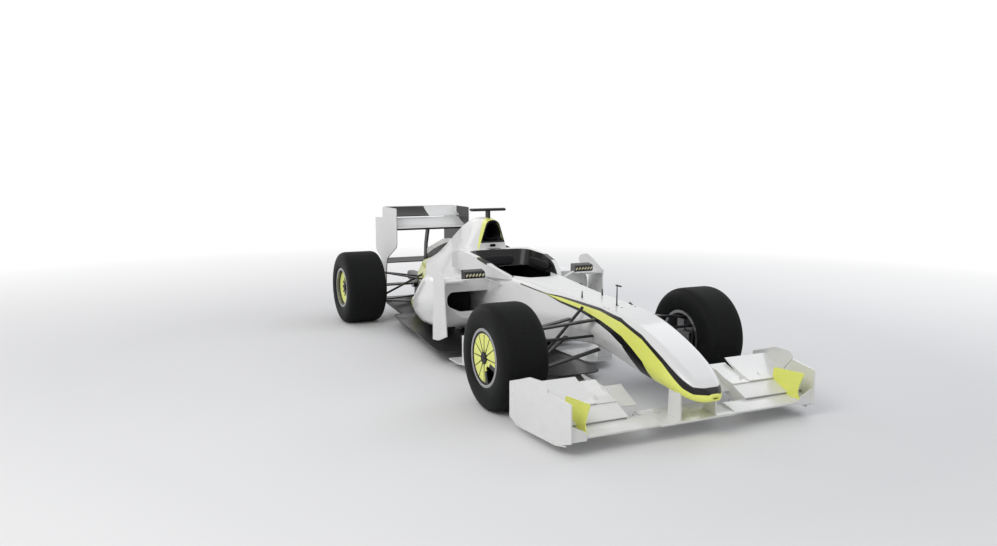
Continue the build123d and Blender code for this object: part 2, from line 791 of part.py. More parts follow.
def make_front_suspension(side):
    """The front wishbones and pushrod of one side, with the eyes that carry the kingpin."""
    pin_y = side * kingpin_y
    parts = None
    for x, y, z, outer_y, outer_z in front_arms:
        arm = blade_between((x, side * y, z), (0, side * outer_y, outer_z))
        parts = arm if parts is None else parts + arm
    for z in (lower_ball_height, upper_ball_height):
        parts = parts + upright_bar(ball_eye_radius, 0, pin_y, z - 10, z + 10)
    parts = parts + tube_between((-3, side * 180, 590), (0, side * 560, 216), rod_radius)
    bore = upright_bar(kingpin_radius + axle_clearance, 0, pin_y, 100, 600)
    turning_room = upright_bar(60, 0, pin_y, lower_ball_height + 10, upper_ball_height - 10)
    return parts - bore - turning_room - body_loft(-seat_gap)


def make_knuckle(side):
    """The front upright with its kingpin stubs, steering arm, axle stub and brake duct."""
    post = block(-34, 34, side * 602, side * 656, lower_ball_height + 11, upper_ball_height - 11)
    pins = upright_bar(kingpin_radius, 0, side * kingpin_y, lower_ball_height - 12, upper_ball_height + 12)
    arm_top = steering_arm_height - 14
    inner = side * (kingpin_y - 12)
    outer = side * (kingpin_y + 12)
    arm = block(0, steering_arm + 14, inner, outer, arm_top - 20, arm_top)
    link_pin = upright_bar(track_rod_pin, steering_arm, side * kingpin_y, arm_top - 6, arm_top + 8)
    stub_end = front_wheel_y + front_tyre_width / 2 - wheel_cover_inset
    stub = disc(axle_bore_radius - axle_clearance, side * 650, side * stub_end, 0)
    drum = disc(120, side * 662, side * 700, 0) - disc(100, side * 668, side * 700, 0)
    return post + pins + arm + link_pin + stub + drum + brake_scoop(side)


def brake_scoop(side):
    """The brake's air scoop beside the upright, with the neck and bracket that hold it."""
    scoop = block(52, 158, side * 545, side * 576, 236, 392)
    mouth = block(60, 170, side * 551, side * 570, 244, 384)
    neck = block(56, 92, side * 570, side * 606, 262, 376)
    bracket = block(20, 92, side * 604, side * 640, 262, 376)
    return (scoop - mouth) + neck + bracket


def make_wheel_cover(side):
    """The still front wheel cover on the end of the axle stub."""
    face = side * (front_wheel_y + front_tyre_width / 2 - wheel_cover_inset + seat_gap)
    outer = face + side * wheel_cover_thickness
    cover = disc(wheel_cover_radius, face, outer, 0)
    boss = disc(34, outer, outer + side * 5, 0)
    return cover + boss - cover_gap(side, face, outer)


def cover_gap(side, face, outer):
    """The sector left out of the cover, low and ahead, to let the brake's air out."""
    sector = [(46, -40), (200, -70), (170, -150), (70, -190), (24, -60)]
    points = [(x, axle_height + z) for x, z in sector]
    return side_prism(points, face - side, outer + side)


def wheel_profile(half_width):
    """The rim's profile as (radius, offset): a barrel with flanged edges."""
    inner = rim_radius - rim_wall
    flange = rim_radius + 10
    edge = half_width - 12
    return [
        (inner, -edge), (flange, -edge), (flange, -edge + 6), (rim_radius, -edge + 14),
        (rim_radius, edge - 14), (flange, edge - 6), (flange, edge), (inner, edge),
    ]


def make_rim(y, width, side, station, face_offset):
    """A rim with its spoked face and its hub."""
    rim = turned(wheel_profile(width / 2), y, station)
    low = y + side * face_offset
    high = y + side * (face_offset + spoke_thickness)
    face = disc(rim_radius - rim_wall / 2, low, high, station)
    hub = disc(hub_radius, low - side * 30, high + side * 8, station)
    axle = Axis((at(station), 0, axle_height), (0, 1, 0))
    window = spoke_window(low - side, high + side, station)
    for i in range(spoke_count):
        face = face - window.rotate(axle, 360 / spoke_count * i)
    bore = disc(axle_bore_radius, y - side * 200, y + side * 200, station)
    return rim + face + hub - bore


def spoke_window(y0, y1, station):
    """The opening between two spokes, level with the axle and ahead of it."""
    corners = [(62, -14), (62, 14), (150, 36), (150, -36)]
    points = [(station + r, axle_height + h) for r, h in corners]
    return rounded_side_prism(points, [8, 8, 8, 8], y0, y1)


def make_tyre(y, width, station):
    """A slick tyre's solid, with round shoulders and bulging side walls."""
    half = width / 2
    inner = rim_radius + tyre_bead_clearance
    flange = rim_radius + 10 + tyre_bead_clearance
    left = [
        (inner, half - 26), (flange, half - 18.3), (flange, half - 11), (wheel_radius * 0.8, half),
        (wheel_radius - 34, half - 6), (wheel_radius - 14, half - 18), (wheel_radius - 4, half - 34),
        (wheel_radius, half - 62),
    ]
    right = [(r, -o) for r, o in reversed(left)]
    return turned(left + right, y, station)


def rear_links(side, room=0):
    """The rear wishbones, toe link and pushrod of one side, or the slots that they need in a panel."""
    chord = arm_chord + room
    thickness = arm_thickness + room
    links = None
    for x, y, z, outer_y, outer_z in rear_arms:
        arm = blade_between((x, side * y, z), (rear_axle, side * outer_y, outer_z), chord, thickness)
        links = arm if links is None else links + arm
    radius = rod_radius + room / 2
    return links + tube_between((-2990, side * 110, 440), (rear_axle + 10, side * 520, 210), radius)


def make_rear_suspension(side):
    """The rear links of one side and the upright that they carry, with its bore for the driveshaft."""
    post = block(rear_axle - 46, rear_axle + 46, side * 532, side * 596, 190, 462)
    bore = disc(axle_bore_radius + axle_clearance, side * 80, side * 640, rear_axle)
    return rear_links(side) + post - bore - gearbox_case(-seat_gap)


def make_driveshaft(side):
    """The driveshaft from the gearbox to the rear hub, turning with its wheel."""
    shaft = disc(14, side * (gearbox_half_width + 32), side * 640, rear_axle)
    joint = disc(40, side * (gearbox_half_width + 30), side * (gearbox_half_width + 76), rear_axle)
    stub = disc(axle_bore_radius, side * 500, side * (rear_wheel_y + 70), rear_axle)
    return shaft + joint + stub


def make_rack():
    """The steering rack across the tub, with both track rods and their eyes in one straight line."""
    rack = disc(16, -116, 116, steering_arm, rack_height)
    rods = disc(track_rod_radius, -kingpin_y + 12, kingpin_y - 12, steering_arm, rack_height)
    low = rack_height - track_rod_eye_height / 2
    high = low + track_rod_eye_height
    shape = rack + rods
    for side in (1, -1):
        eye = upright_bar(track_rod_eye, steering_arm, side * kingpin_y, low, high)
        hole = upright_bar(track_rod_pin + 5, steering_arm, side * kingpin_y, low, high)
        shape = shape + eye - hole
    return shape


def save(name, shape):
    """Write one sub-part as a single solid, or as a compound of its solids."""
    solids = shape.solids()
    whole = Compound(children=list(solids)) if len(solids) > 1 else solids[0]
    export_step(whole, "parts/" + name + ".step")


def main():
    """Make and write every sub-part."""
    os.makedirs("parts", exist_ok=True)
    parts = {
        "monocoque": make_monocoque(),
        "nose_cone": make_nose(),
        "head_surround": make_head_surround(),
        "cockpit_bulkhead": make_cockpit_bulkhead(),
        "seat": make_seat(),
        "steering_wheel": make_steering_wheel(),
        "steering_rack": make_rack(),
        "engine_cover": make_engine_cover(),
        "camera_pod": make_camera_pod(),
        "engine": make_engine(),
        "gearbox": make_gearbox(),
        "crash_structure": make_crash_structure(),
        "floor": make_floor(),
        "plank": make_plank(),
        "diffuser": make_diffuser(),
        "front_wing_main_plane": make_front_main_plane(),
        "front_wing_pylons": make_wing_pylons(),
        "rear_wing_main_plane": make_rear_main_plane(),
        "rear_wing_flap": make_rear_flap(),
        "rear_beam_wing": make_beam_wing(),
        "rear_wing_pylon": make_wing_pylon(),
    }
    for name, side in (("left", 1), ("right", -1)):
        front_y = side * front_wheel_y
        rear_y = side * rear_wheel_y
        parts["sidepod_" + name] = make_sidepod(side)
        parts["radiator_" + name] = make_radiator(side)
        parts["sidepod_vane_" + name] = make_pod_vane(side)
        parts["bargeboard_" + name] = make_bargeboard(side)
        parts["mirror_" + name] = make_mirror(side)
        parts["front_wing_flap_" + name] = make_front_flap(side)
        parts["front_endplate_" + name] = make_endplate(side)
        parts["rear_endplate_" + name] = make_rear_endplate(side)
        parts["front_suspension_" + name] = make_front_suspension(side)
        parts["rear_suspension_" + name] = make_rear_suspension(side)
        parts["knuckle_" + name] = make_knuckle(side)
        parts["wheel_cover_" + name] = make_wheel_cover(side)
        parts["front_rim_" + name] = make_rim(front_y, front_tyre_width, side, 0, front_face_depth)
        parts["front_tyre_" + name] = make_tyre(front_y, front_tyre_width, 0)
        parts["rear_rim_" + name] = make_rim(rear_y, rear_tyre_width, side, rear_axle, rear_face_depth)
        parts["rear_tyre_" + name] = make_tyre(rear_y, rear_tyre_width, rear_axle)
        parts["driveshaft_" + name] = make_driveshaft(side)
    for name, shape in parts.items():
        save(name, shape)


if __name__ == "__main__":
    main()
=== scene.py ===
import logging
import math
from dataclasses import dataclass, field
from enum import Enum
from typing import Mapping, Sequence

import bmesh
import bpy
from bpy.types import Material, Node, NodeTree, Object
from mathutils import Matrix, Vector
from mathutils.bvhtree import BVHTree


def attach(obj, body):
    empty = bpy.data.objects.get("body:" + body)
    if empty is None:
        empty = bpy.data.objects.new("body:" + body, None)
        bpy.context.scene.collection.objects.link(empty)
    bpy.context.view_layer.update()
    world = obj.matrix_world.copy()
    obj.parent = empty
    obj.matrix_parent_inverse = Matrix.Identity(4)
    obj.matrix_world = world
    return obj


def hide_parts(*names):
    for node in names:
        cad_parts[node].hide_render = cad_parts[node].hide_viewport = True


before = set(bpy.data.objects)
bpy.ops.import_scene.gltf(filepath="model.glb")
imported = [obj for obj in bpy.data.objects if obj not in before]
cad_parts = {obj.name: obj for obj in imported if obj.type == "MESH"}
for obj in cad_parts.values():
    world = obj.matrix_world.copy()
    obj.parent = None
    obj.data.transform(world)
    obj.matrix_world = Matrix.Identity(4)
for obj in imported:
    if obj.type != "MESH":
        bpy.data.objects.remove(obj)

LOG = logging.getLogger("open_wheel_car")

Flat = tuple[float, float]
Point = tuple[float, float, float]
Colour = tuple[float, float, float]
Section = tuple[Flat, ...]
Rows = tuple[Point, ...]
BMesh = bmesh.types.BMesh
Socket = bpy.types.NodeSocket
Source = float | Socket

FLOAT, VECTOR, GEOMETRY = "NodeSocketFloat", "NodeSocketVector", "NodeSocketGeometry"

# Lengths are in metres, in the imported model's frame: +X forward, +Y left, +Z up.
FRONT_AXLE_X = 1.275
REAR_AXLE_X = FRONT_AXLE_X - 3.15
AXLE_HEIGHT = 0.33
FRONT_WHEEL_Y = 0.739
REAR_WHEEL_Y = 0.702
ENDPLATE_INNER_Y = 0.8375

WHITE: Colour = (0.80, 0.80, 0.79)
YELLOW: Colour = (0.86, 0.90, 0.19)
BLACK: Colour = (0.006, 0.006, 0.007)
DUST: Colour = (0.23, 0.18, 0.14)


def at(station: float) -> float:
    """The frame's x of a station, which is counted forward from the front axle."""
    return FRONT_AXLE_X + station


def turns(count: int) -> list[float]:
    """Equal steps round a full turn."""
    return [math.tau * k / count for k in range(count)]


class Side(Enum):
    """The car's two sides, with the sign of y on each."""

    LEFT = 1
    RIGHT = -1

    @property
    def word(self) -> str:
        """The side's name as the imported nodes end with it."""
        return self.name.lower()


class Livery(Enum):
    """The paint schemes that the body panels wear."""

    PLAIN = "plain"
    NOSE = "nose"
    COVER = "cover"
    ENDPLATE = "endplate"
    REAR_PLATE = "rear_plate"
    WING_FLAP = "wing_flap"
    SURROUND = "surround"
    MIRROR = "mirror"
    FRONT_DISC = "front_disc"
    REAR_DISC = "rear_disc"


class Tree:
    """Writes nodes into a shader or geometry tree."""

    def __init__(self, tree: NodeTree) -> None:
        """Write into a tree."""
        self.tree = tree

    def add(self, kind: str, inputs: Mapping[str | int, object] | None = None, **values: object) -> Node:
        """Add a node, set its properties and feed its inputs.

        Args:
            kind: The node's bl_idname.
            inputs: Sockets or values, by the input's name or number.
            values: Properties of the node by name.

        Returns:
            The new node.
        """
        node = self.tree.nodes.new(kind)
        for name, value in values.items():
            setattr(node, name, value)
        for key, source in (inputs or {}).items():
            self.feed(node.inputs[key], source)
        return node

    def feed(self, socket: Socket, source: object) -> None:
        """Link a socket to another, or set its value.

        Args:
            socket: The input to feed.
            source: The socket or the value that it takes.
        """
        if isinstance(source, Socket):
            self.tree.links.new(source, socket)
        else:
            socket.default_value = source

    def math(self, operation: str, first: Source, second: Source = 0.0, clamp: bool = False) -> Socket:
        """One Math node."""
        terms = {0: first, 1: second}
        return self.add("ShaderNodeMath", terms, operation=operation, use_clamp=clamp).outputs[0]

    def plus(self, first: Source, second: Source) -> Socket:
        """The sum of two values."""
        return self.math("ADD", first, second)

    def minus(self, first: Source, second: Source) -> Socket:
        """The first value less the second."""
        return self.math("SUBTRACT", first, second)

    def times(self, first: Source, second: Source) -> Socket:
        """The product of two values, or what lies under both of two masks."""
        return self.math("MULTIPLY", first, second)

    def ramp(self, value: Source, low: float, high: float, to_low: float = 0.0, to_high: float = 1.0
             ) -> Socket:
        """A clamped Map Range node."""
        limits = {"Value": value, "From Min": low, "From Max": high, "To Min": to_low, "To Max": to_high}
        return self.add("ShaderNodeMapRange", limits, clamp=True).outputs[0]

    def above(self, value: Source, limit: Source, soft: float = 0.0008) -> Socket:
        """1 where a value is above a limit and 0 below it, with an edge softened over a short way."""
        return self.ramp(self.minus(value, limit), -soft, soft)

    def mix(self, factor: Source, first: Source | Colour, second: Source | Colour) -> Socket:
        """Mix two colours.

        Args:
            factor: How much of the second shows.
            first: A colour, or the socket that gives one.
            second: The other colour.

        Returns:
            The mixed colour.
        """
        sources = {6: first, 7: second}
        inputs = {key: c if isinstance(c, Socket) else (*c, 1.0) for key, c in sources.items()}
        return self.add("ShaderNodeMix", {0: factor, **inputs}, data_type="RGBA").outputs[2]

    def split(self, vector: Socket) -> tuple[Socket, Socket, Socket]:
        """A vector's x, y and z."""
        parts = self.add("ShaderNodeSeparateXYZ", {0: vector}).outputs
        return parts["X"], parts["Y"], parts["Z"]

    def curve(self, value: Source, points: Sequence[Flat]) -> Socket:
        """A line of straight runs, read at a value.

        Args:
            value: The x to read the line at.
            points: (x, y) pairs, in rising x.

        Returns:
            The line's y.
        """
        xs = [x for x, _ in points]
        ys = [y for _, y in points]
        low, high = min(ys), max(ys)
        spread = max(high - low, 1e-6)
        node = self.add("ShaderNodeFloatCurve", {"Value": self.ramp(value, xs[0], xs[-1])})
        line = node.mapping.curves[0]
        while len(line.points) > 2:
            line.points.remove(line.points[-2])
        shares = [((x - xs[0]) / (xs[-1] - xs[0]), (y - low) / spread) for x, y in points]
        line.points[0].location = shares[0]
        line.points[1].location = shares[-1]
        for share in shares[1:-1]:
            line.points.new(*share)
        for point in line.points:
            point.handle_type = "VECTOR"
        node.mapping.update()
        return self.ramp(node.outputs[0], 0.0, 1.0, low, high)

    def along_car(self, x: Source, points: Sequence[Flat]) -> Socket:
        """A line over the car's length, from (station, value) pairs."""
        return self.curve(x, [(at(station), value) for station, value in points])

    def noise(self, vector: Socket, scale: float, detail: float = 3.0, rough: float = 0.55) -> Socket:
        """A noise texture's factor."""
        inputs = {"Vector": vector, "Scale": scale, "Detail": detail, "Roughness": rough}
        return self.add("ShaderNodeTexNoise", inputs).outputs["Fac"]


def new_group(name: str, kind: str, inputs: Sequence[tuple[str, str, object]],
              outputs: Sequence[tuple[str, str]]
              ) -> tuple[NodeTree, Tree, Mapping[str, Socket], Mapping[str, Socket]]:
    """Start a node group.

    Args:
        name: The group's name.
        kind: The type of its tree.
        inputs: (socket name, socket type, default or None) of each input.
        outputs: (socket name, socket type) of each output.

    Returns:
        The group, its writer, the sockets that hold its inputs and those that take its outputs.
    """
    group = bpy.data.node_groups.new(name, kind)
    for label, socket_type, default in inputs:
        socket = group.interface.new_socket(name=label, in_out="INPUT", socket_type=socket_type)
        if default is not None:
            socket.default_value = default
    for label, socket_type in outputs:
        group.interface.new_socket(name=label, in_out="OUTPUT", socket_type=socket_type)
    writer = Tree(group)
    return group, writer, writer.add("NodeGroupInput").outputs, writer.add("NodeGroupOutput").inputs


@dataclass
class SharedEffects:
    """The node groups that several finishes place in their materials."""

    wear: NodeTree = field(init=False)
    dust: NodeTree = field(init=False)
    weave: NodeTree = field(init=False)

    def __post_init__(self) -> None:
        """Build the three groups once."""
        self.wear = self.build_wear()
        self.dust = self.build_dust()
        self.weave = self.build_weave()

    def build_wear(self) -> NodeTree:
        """Slow mottling, fine rubbing marks and the ripple of sprayed paint.

        Returns:
            The group.
        """
        group, tree, start, end = new_group(
            "sprayed_panel_wear", "ShaderNodeTree", [("Vector", VECTOR, None), ("Amount", FLOAT, 1.0)],
            [("Mottle", FLOAT), ("Rub", FLOAT), ("Ripple", FLOAT)])
        place, amount = start["Vector"], start["Amount"]
        mottle = tree.ramp(tree.noise(place, 2.3, 5.0), 0.35, 0.7)
        stretched = tree.add("ShaderNodeMapping", {"Vector": place, "Scale": (3.0, 40.0, 40.0)}).outputs[0]
        rub = tree.ramp(tree.noise(stretched, 6.0, 6.0, 0.7), 0.55, 0.8)
        tree.feed(end["Mottle"], tree.times(mottle, amount))
        tree.feed(end["Rub"], tree.times(rub, amount))
        tree.feed(end["Ripple"], tree.noise(place, 180.0, 2.0))
        return group

    def build_dust(self) -> NodeTree:
        """Road dust that fades with height above the ground.

        Returns:
            The group.
        """
        group, tree, start, end = new_group(
            "road_dust", "ShaderNodeTree", [("Vector", VECTOR, None), ("Reach", FLOAT, 0.35)],
            [("Mask", FLOAT)])
        height = tree.split(start["Vector"])[2]
        low = tree.math("SUBTRACT", 1.0, tree.math("DIVIDE", height, start["Reach"]), clamp=True)
        cloud = tree.ramp(tree.noise(start["Vector"], 14.0, 7.0, 0.65), 0.38, 0.75)
        tree.feed(end["Mask"], tree.times(low, cloud))
        return group

    def build_weave(self) -> NodeTree:
        """The over and under of twill carbon cloth.

        Returns:
            The group.
        """
        group, tree, start, end = new_group(
            "twill_weave", "ShaderNodeTree", [("Vector", VECTOR, None), ("Scale", FLOAT, 260.0)],
            [("Mask", FLOAT), ("Height", FLOAT)])
        x, y, z = tree.split(start["Vector"])
        along = tree.times(tree.plus(x, z), start["Scale"])
        across = tree.times(tree.plus(y, z), start["Scale"])
        warp = tree.math("SINE", tree.times(along, math.pi))
        weft = tree.math("SINE", tree.times(across, math.pi))
        diagonal = tree.math("SINE", tree.times(tree.plus(along, across), math.pi / 2))
        mask = tree.ramp(diagonal, -0.25, 0.25)
        over = tree.times(mask, tree.math("ABSOLUTE", warp))
        under = tree.times(tree.minus(1.0, mask), tree.math("ABSOLUTE", weft))
        tree.feed(end["Mask"], mask)
        tree.feed(end["Height"], tree.plus(over, under))
        return group


@dataclass
class Surface:
    """One material under construction: its writer, its object coordinates and its shader."""

    material: Material
    tree: Tree
    place: Socket
    shader: Node

    @staticmethod
    def start(name: str) -> "Surface":
        """An empty material with a Principled BSDF on its output.

        Args:
            name: The material's name.

        Returns:
            The surface to build it with.
        """
        material = bpy.data.materials.new(name)
        material.use_nodes = True
        material.node_tree.nodes.clear()
        tree = Tree(material.node_tree)
        shader = tree.add("ShaderNodeBsdfPrincipled")
        tree.add("ShaderNodeOutputMaterial", {"Surface": shader.outputs[0]})
        return Surface(material, tree, tree.add("ShaderNodeTexCoord").outputs["Object"], shader)

    def effect(self, group: NodeTree, **values: float) -> Mapping[str, Socket]:
        """Place a shared group, fed by the object coordinates, and give its outputs."""
        return self.tree.add("ShaderNodeGroup", {"Vector": self.place, **values}, node_tree=group).outputs

    def axes(self) -> tuple[Socket, Socket, Socket]:
        """The object coordinates' x, y and z."""
        return self.tree.split(self.place)

    def around_axle(self, axle_x: float) -> tuple[Socket, Socket, Socket]:
        """Where each point lies from a wheel's axle.

        Args:
            axle_x: The axle's x.

        Returns:
            How far ahead of the axle, how far above it, and how far from it.
        """
        x, _, z = self.axes()
        ahead = self.tree.minus(x, axle_x)
        rise = self.tree.minus(z, AXLE_HEIGHT)
        square = self.tree.plus(self.tree.times(ahead, ahead), self.tree.times(rise, rise))
        return ahead, rise, self.tree.math("SQRT", square)

    def set(self, values: Mapping[str, Source]) -> None:
        """Feed or set the shader's sockets by name."""
        for name, source in values.items():
            self.tree.feed(self.shader.inputs[name], source)

    def bump(self, height: Socket, depth: float, strength: float) -> Material:
        """Feed a height to the shader's normal, as the last thing done to a material.

        Args:
            height: A 0 to 1 height.
            depth: The height's full size in metres.
            strength: How far the bump shows.

        Returns:
            The finished material.
        """
        node = self.tree.add("ShaderNodeBump", {"Distance": depth, "Strength": strength, "Height": height})
        self.set({"Normal": node.outputs["Normal"]})
        return self.material


@dataclass(frozen=True)
class PaintFinish:
    """Gloss paint under lacquer, in one of the car's liveries."""

    name: str
    livery: Livery = Livery.PLAIN
    base: Colour = WHITE
    mottled: Colour = (0.30, 0.29, 0.28)
    # Painted shade: the flat dark colour of the rear endplates' inner faces.
    void: Colour = (0.03, 0.03, 0.032)
    plain_band: Colour = (0.02, 0.02, 0.022)
    roughness: float = 0.26
    wear_amount: float = 0.8
    dust_height: float = 0.30
    dust_share: float = 0.16

    def material(self, effects: SharedEffects) -> Material:
        """Build the material.

        Args:
            effects: The shared node groups.

        Returns:
            The finished material.
        """
        surface = Surface.start(self.name)
        tree = surface.tree
        wear = surface.effect(effects.wear, Amount=self.wear_amount)
        dust = surface.effect(effects.dust, Reach=self.dust_height)["Mask"]
        schemes = {
            Livery.NOSE: self.nose_colour, Livery.COVER: self.cover_colour,
            Livery.ENDPLATE: self.endplate_colour,
            Livery.REAR_PLATE: self.rear_plate_colour, Livery.WING_FLAP: self.flap_colour,
            Livery.SURROUND: self.surround_colour, Livery.MIRROR: self.mirror_colour,
            Livery.FRONT_DISC: self.front_disc_colour, Livery.REAR_DISC: self.rear_disc_colour,
        }
        colour = schemes[self.livery](surface) if self.livery in schemes else self.base
        shaded = tree.mix(tree.times(wear["Mottle"], 0.05), colour, self.mottled)
        dusty = tree.mix(tree.times(dust, self.dust_share), shaded, DUST)
        bright = tree.add("ShaderNodeRGBToBW", {0: dusty}).outputs[0]
        lacquer = tree.ramp(bright, 0.02, 0.40, 0.08, 0.45)
        marks = tree.plus(tree.times(wear["Rub"], 0.10), tree.times(dust, 0.25))
        surface.set({"Base Color": dusty, "Roughness": tree.plus(self.roughness, marks),
                     "Coat Weight": tree.times(lacquer, tree.minus(1.0, dust)),
                     "Specular IOR Level": 0.25, "Coat Roughness": 0.05})
        return surface.bump(wear["Ripple"], 0.00003, 0.25)

    def nose_colour(self, surface: Surface) -> Socket:
        """White above, then down each flank a thin black line, a yellow flash, a black band, and white below.

        Args:
            surface: The material under construction.

        Returns:
            Its colour.
        """
        tree = surface.tree
        x, _, z = surface.axes()
        white_foot = tree.along_car(x, [
            (-0.82, 0.638), (-0.61, 0.619), (-0.48, 0.610), (-0.34, 0.615), (-0.11, 0.608), (0.12, 0.599),
            (0.35, 0.575), (0.57, 0.512), (0.77, 0.421), (0.94, 0.331), (1.00, 0.301), (1.09, 0.293)])
        yellow_top = tree.along_car(x, [
            (-0.82, 0.632), (-0.61, 0.613), (-0.48, 0.606), (-0.33, 0.605), (-0.09, 0.594), (0.14, 0.584),
            (0.37, 0.552), (0.58, 0.488), (0.78, 0.389), (0.95, 0.286), (1.01, 0.263), (1.09, 0.266)])
        yellow_foot = tree.along_car(x, [
            (-0.82, 0.632), (-0.61, 0.613), (-0.48, 0.604), (-0.31, 0.585), (-0.06, 0.568), (0.06, 0.551),
            (0.18, 0.532), (0.29, 0.507), (0.40, 0.477), (0.51, 0.427), (0.62, 0.368), (0.69, 0.286),
            (0.75, 0.220), (0.83, 0.150), (1.09, 0.150)])
        black_foot = tree.along_car(x, [
            (-0.82, 0.630), (-0.61, 0.612), (-0.48, 0.602), (-0.30, 0.572), (-0.05, 0.550), (0.07, 0.531),
            (0.19, 0.506), (0.30, 0.475), (0.42, 0.425), (0.51, 0.349), (0.60, 0.270), (0.68, 0.200),
            (0.83, 0.150), (1.09, 0.150)])
        flashed = tree.above(x, at(-0.82))
        colour = tree.mix(tree.times(tree.above(z, black_foot), flashed), self.base, BLACK)
        colour = tree.mix(tree.times(tree.above(z, yellow_foot), flashed), colour, YELLOW)
        band = tree.times(tree.above(z, yellow_top), tree.above(at(1.070), x))
        colour = tree.mix(tree.times(band, flashed), colour, BLACK)
        white = tree.times(tree.above(z, white_foot), tree.above(at(1.035), x))
        return tree.mix(white, colour, self.base)

    def cover_colour(self, surface: Surface) -> Socket:
        """White, with a yellow edge round the mouth and painted shade in black inside it, a yellow spine
        whose fin is painted black below its crest as painted shade, and a yellow tail flank.

        Args:
            surface: The material under construction.

        Returns:
            Its colour.
        """
        tree = surface.tree
        x, y, z = surface.axes()
        width = tree.math("ABSOLUTE", y)
        rear_edge = tree.curve(z, [(0.78, at(-1.712)), (0.87, at(-1.742)), (0.95, at(-1.756)),
                                   (1.02, at(-1.770)), (1.06, at(-1.800))])
        face = tree.above(x, at(-1.7025))
        colour = tree.mix(tree.times(tree.above(x, rear_edge), tree.above(z, 0.79)), self.base, YELLOW)
        colour = tree.mix(face, colour, self.base)
        # Painted shade: the faces inside the air intake's mouth are painted black.
        colour = tree.mix(tree.times(face, tree.above(z, 0.846)), colour, BLACK)
        flank = tree.along_car(x, [(-3.20, 0.56), (-3.0, 0.53), (-2.80, 0.44), (-2.62, 0.36), (-2.45, 0.20)])
        colour = tree.mix(tree.times(tree.above(flank, z), tree.above(at(-2.45), x)), colour, YELLOW)
        spine = tree.along_car(x, [(-3.20, 0.055), (-2.90, 0.048), (-2.62, 0.030), (-2.50, 0.0)])
        colour = tree.mix(tree.times(tree.above(spine, width), tree.above(at(-2.50), x)), colour, YELLOW)
        # Painted shade: the fin's sides are painted black, and white is left above the crest.
        fin = tree.times(tree.above(0.0062, width), tree.above(at(-2.44), x))
        crest = tree.along_car(x, [(-3.20, 0.594), (-3.01, 0.668), (-2.84, 0.719), (-2.71, 0.752),
                                   (-2.44, 0.812)])
        colour = tree.mix(fin, colour, BLACK)
        return tree.mix(tree.times(fin, tree.above(z, crest)), colour, self.base)

    def endplate_colour(self, surface: Surface) -> Socket:
        """White, with the inner plate yellow and a soft yellow patch on the wall behind it.

        Args:
            surface: The material under construction.

        Returns:
            Its colour.
        """
        tree = surface.tree
        x, y, z = surface.axes()
        width = tree.math("ABSOLUTE", y)
        inner_plate = tree.times(tree.above(0.7435, width), tree.above(z, 0.118))
        patch = tree.times(tree.ramp(x, at(0.66), at(0.84)), tree.ramp(x, at(0.97), at(0.86)))
        patch = tree.times(patch, tree.ramp(z, 0.09, 0.20))
        patch = tree.times(patch, tree.above(ENDPLATE_INNER_Y, width))
        colour = tree.mix(tree.times(patch, 0.8), self.base, YELLOW)
        return tree.mix(inner_plate, colour, YELLOW)

    def rear_plate_colour(self, surface: Surface) -> Socket:
        """White outside, and painted shade, a flat dark colour, on the inside beside the flap and under the
        main plane.

        Args:
            surface: The material under construction.

        Returns:
            Its colour.
        """
        tree = surface.tree
        x, y, z = surface.axes()
        inside = tree.above(0.3685, tree.math("ABSOLUTE", y), 0.0004)
        upper = tree.times(tree.above(z, 0.872), tree.above(x, at(-3.30)))
        lower = tree.above(0.872, z)
        # Painted shade on the inner faces beside the flap and under the main plane.
        return tree.mix(tree.times(inside, tree.math("MAXIMUM", upper, lower)), self.base, self.void)

    def flap_colour(self, surface: Surface) -> Socket:
        """A black half and a white half, as the photograph's near and far halves are."""
        return surface.tree.mix(surface.tree.above(0.045, surface.axes()[1]), self.base, BLACK)

    def surround_colour(self, surface: Surface) -> Socket:
        """White, black on the faces that lean round the opening, with a plain dark band on each side's rim.

        Args:
            surface: The material under construction.

        Returns:
            Its colour.
        """
        tree = surface.tree
        x, y, z = surface.axes()
        rise = tree.minus(z, 0.64)
        walls = tree.along_car(x, [(-1.62, 0.207), (-1.33, 0.230), (-1.12, 0.218), (-0.96, 0.178),
                                   (-0.90, 0.155)])
        corner = tree.along_car(tree.plus(x, tree.times(rise, 0.376)), [
            (-1.580, 0.0), (-1.572, 0.135), (-1.56, 0.172), (-1.54, 0.198), (-1.51, 0.218), (-1.46, 0.245),
            (-0.90, 0.245)])
        half = tree.plus(tree.math("MINIMUM", walls, corner), tree.times(rise, 0.36))
        opening = tree.above(half, tree.math("ABSOLUTE", y), 0.0012)
        slope = 0.2125
        crest = tree.plus(z, tree.times(x, slope))
        band = tree.times(tree.above(x, at(-1.34)), tree.above(at(-1.19), x))
        band = tree.times(band, tree.above(crest, 0.762 + slope * at(-1.34)))
        return tree.mix(opening, tree.mix(band, self.base, self.plain_band), BLACK)

    def front_disc_colour(self, surface: Surface) -> Socket:
        """A yellow disc with a black rim, and black round the brake's air exit at its lower front.

        Args:
            surface: The material under construction.

        Returns:
            Its colour.
        """
        tree = surface.tree
        ahead, rise, reach = surface.around_axle(FRONT_AXLE_X)
        turn = tree.math("ARCTAN2", rise, ahead)
        exit_sector = tree.times(tree.above(turn, math.radians(-84.0), 0.01),
                                 tree.above(math.radians(-12.0), turn, 0.01))
        air_exit = tree.times(exit_sector, tree.above(reach, 0.080))
        return tree.mix(tree.math("MAXIMUM", air_exit, tree.above(reach, 0.1495)), YELLOW, BLACK)

    def rear_disc_colour(self, surface: Surface) -> Socket:
        """A yellow disc with a black rim."""
        reach = surface.around_axle(REAR_AXLE_X)[2]
        return surface.tree.mix(surface.tree.above(reach, 0.1475), YELLOW, BLACK)

    def mirror_colour(self, surface: Surface) -> Socket:
        """A black housing on a white stalk.

        Args:
            surface: The surface to colour.

        Returns:
            The colour's socket.
        """
        tree = surface.tree
        width = tree.math("ABSOLUTE", surface.axes()[1])
        return tree.mix(tree.above(width, 0.3845), self.base, BLACK)


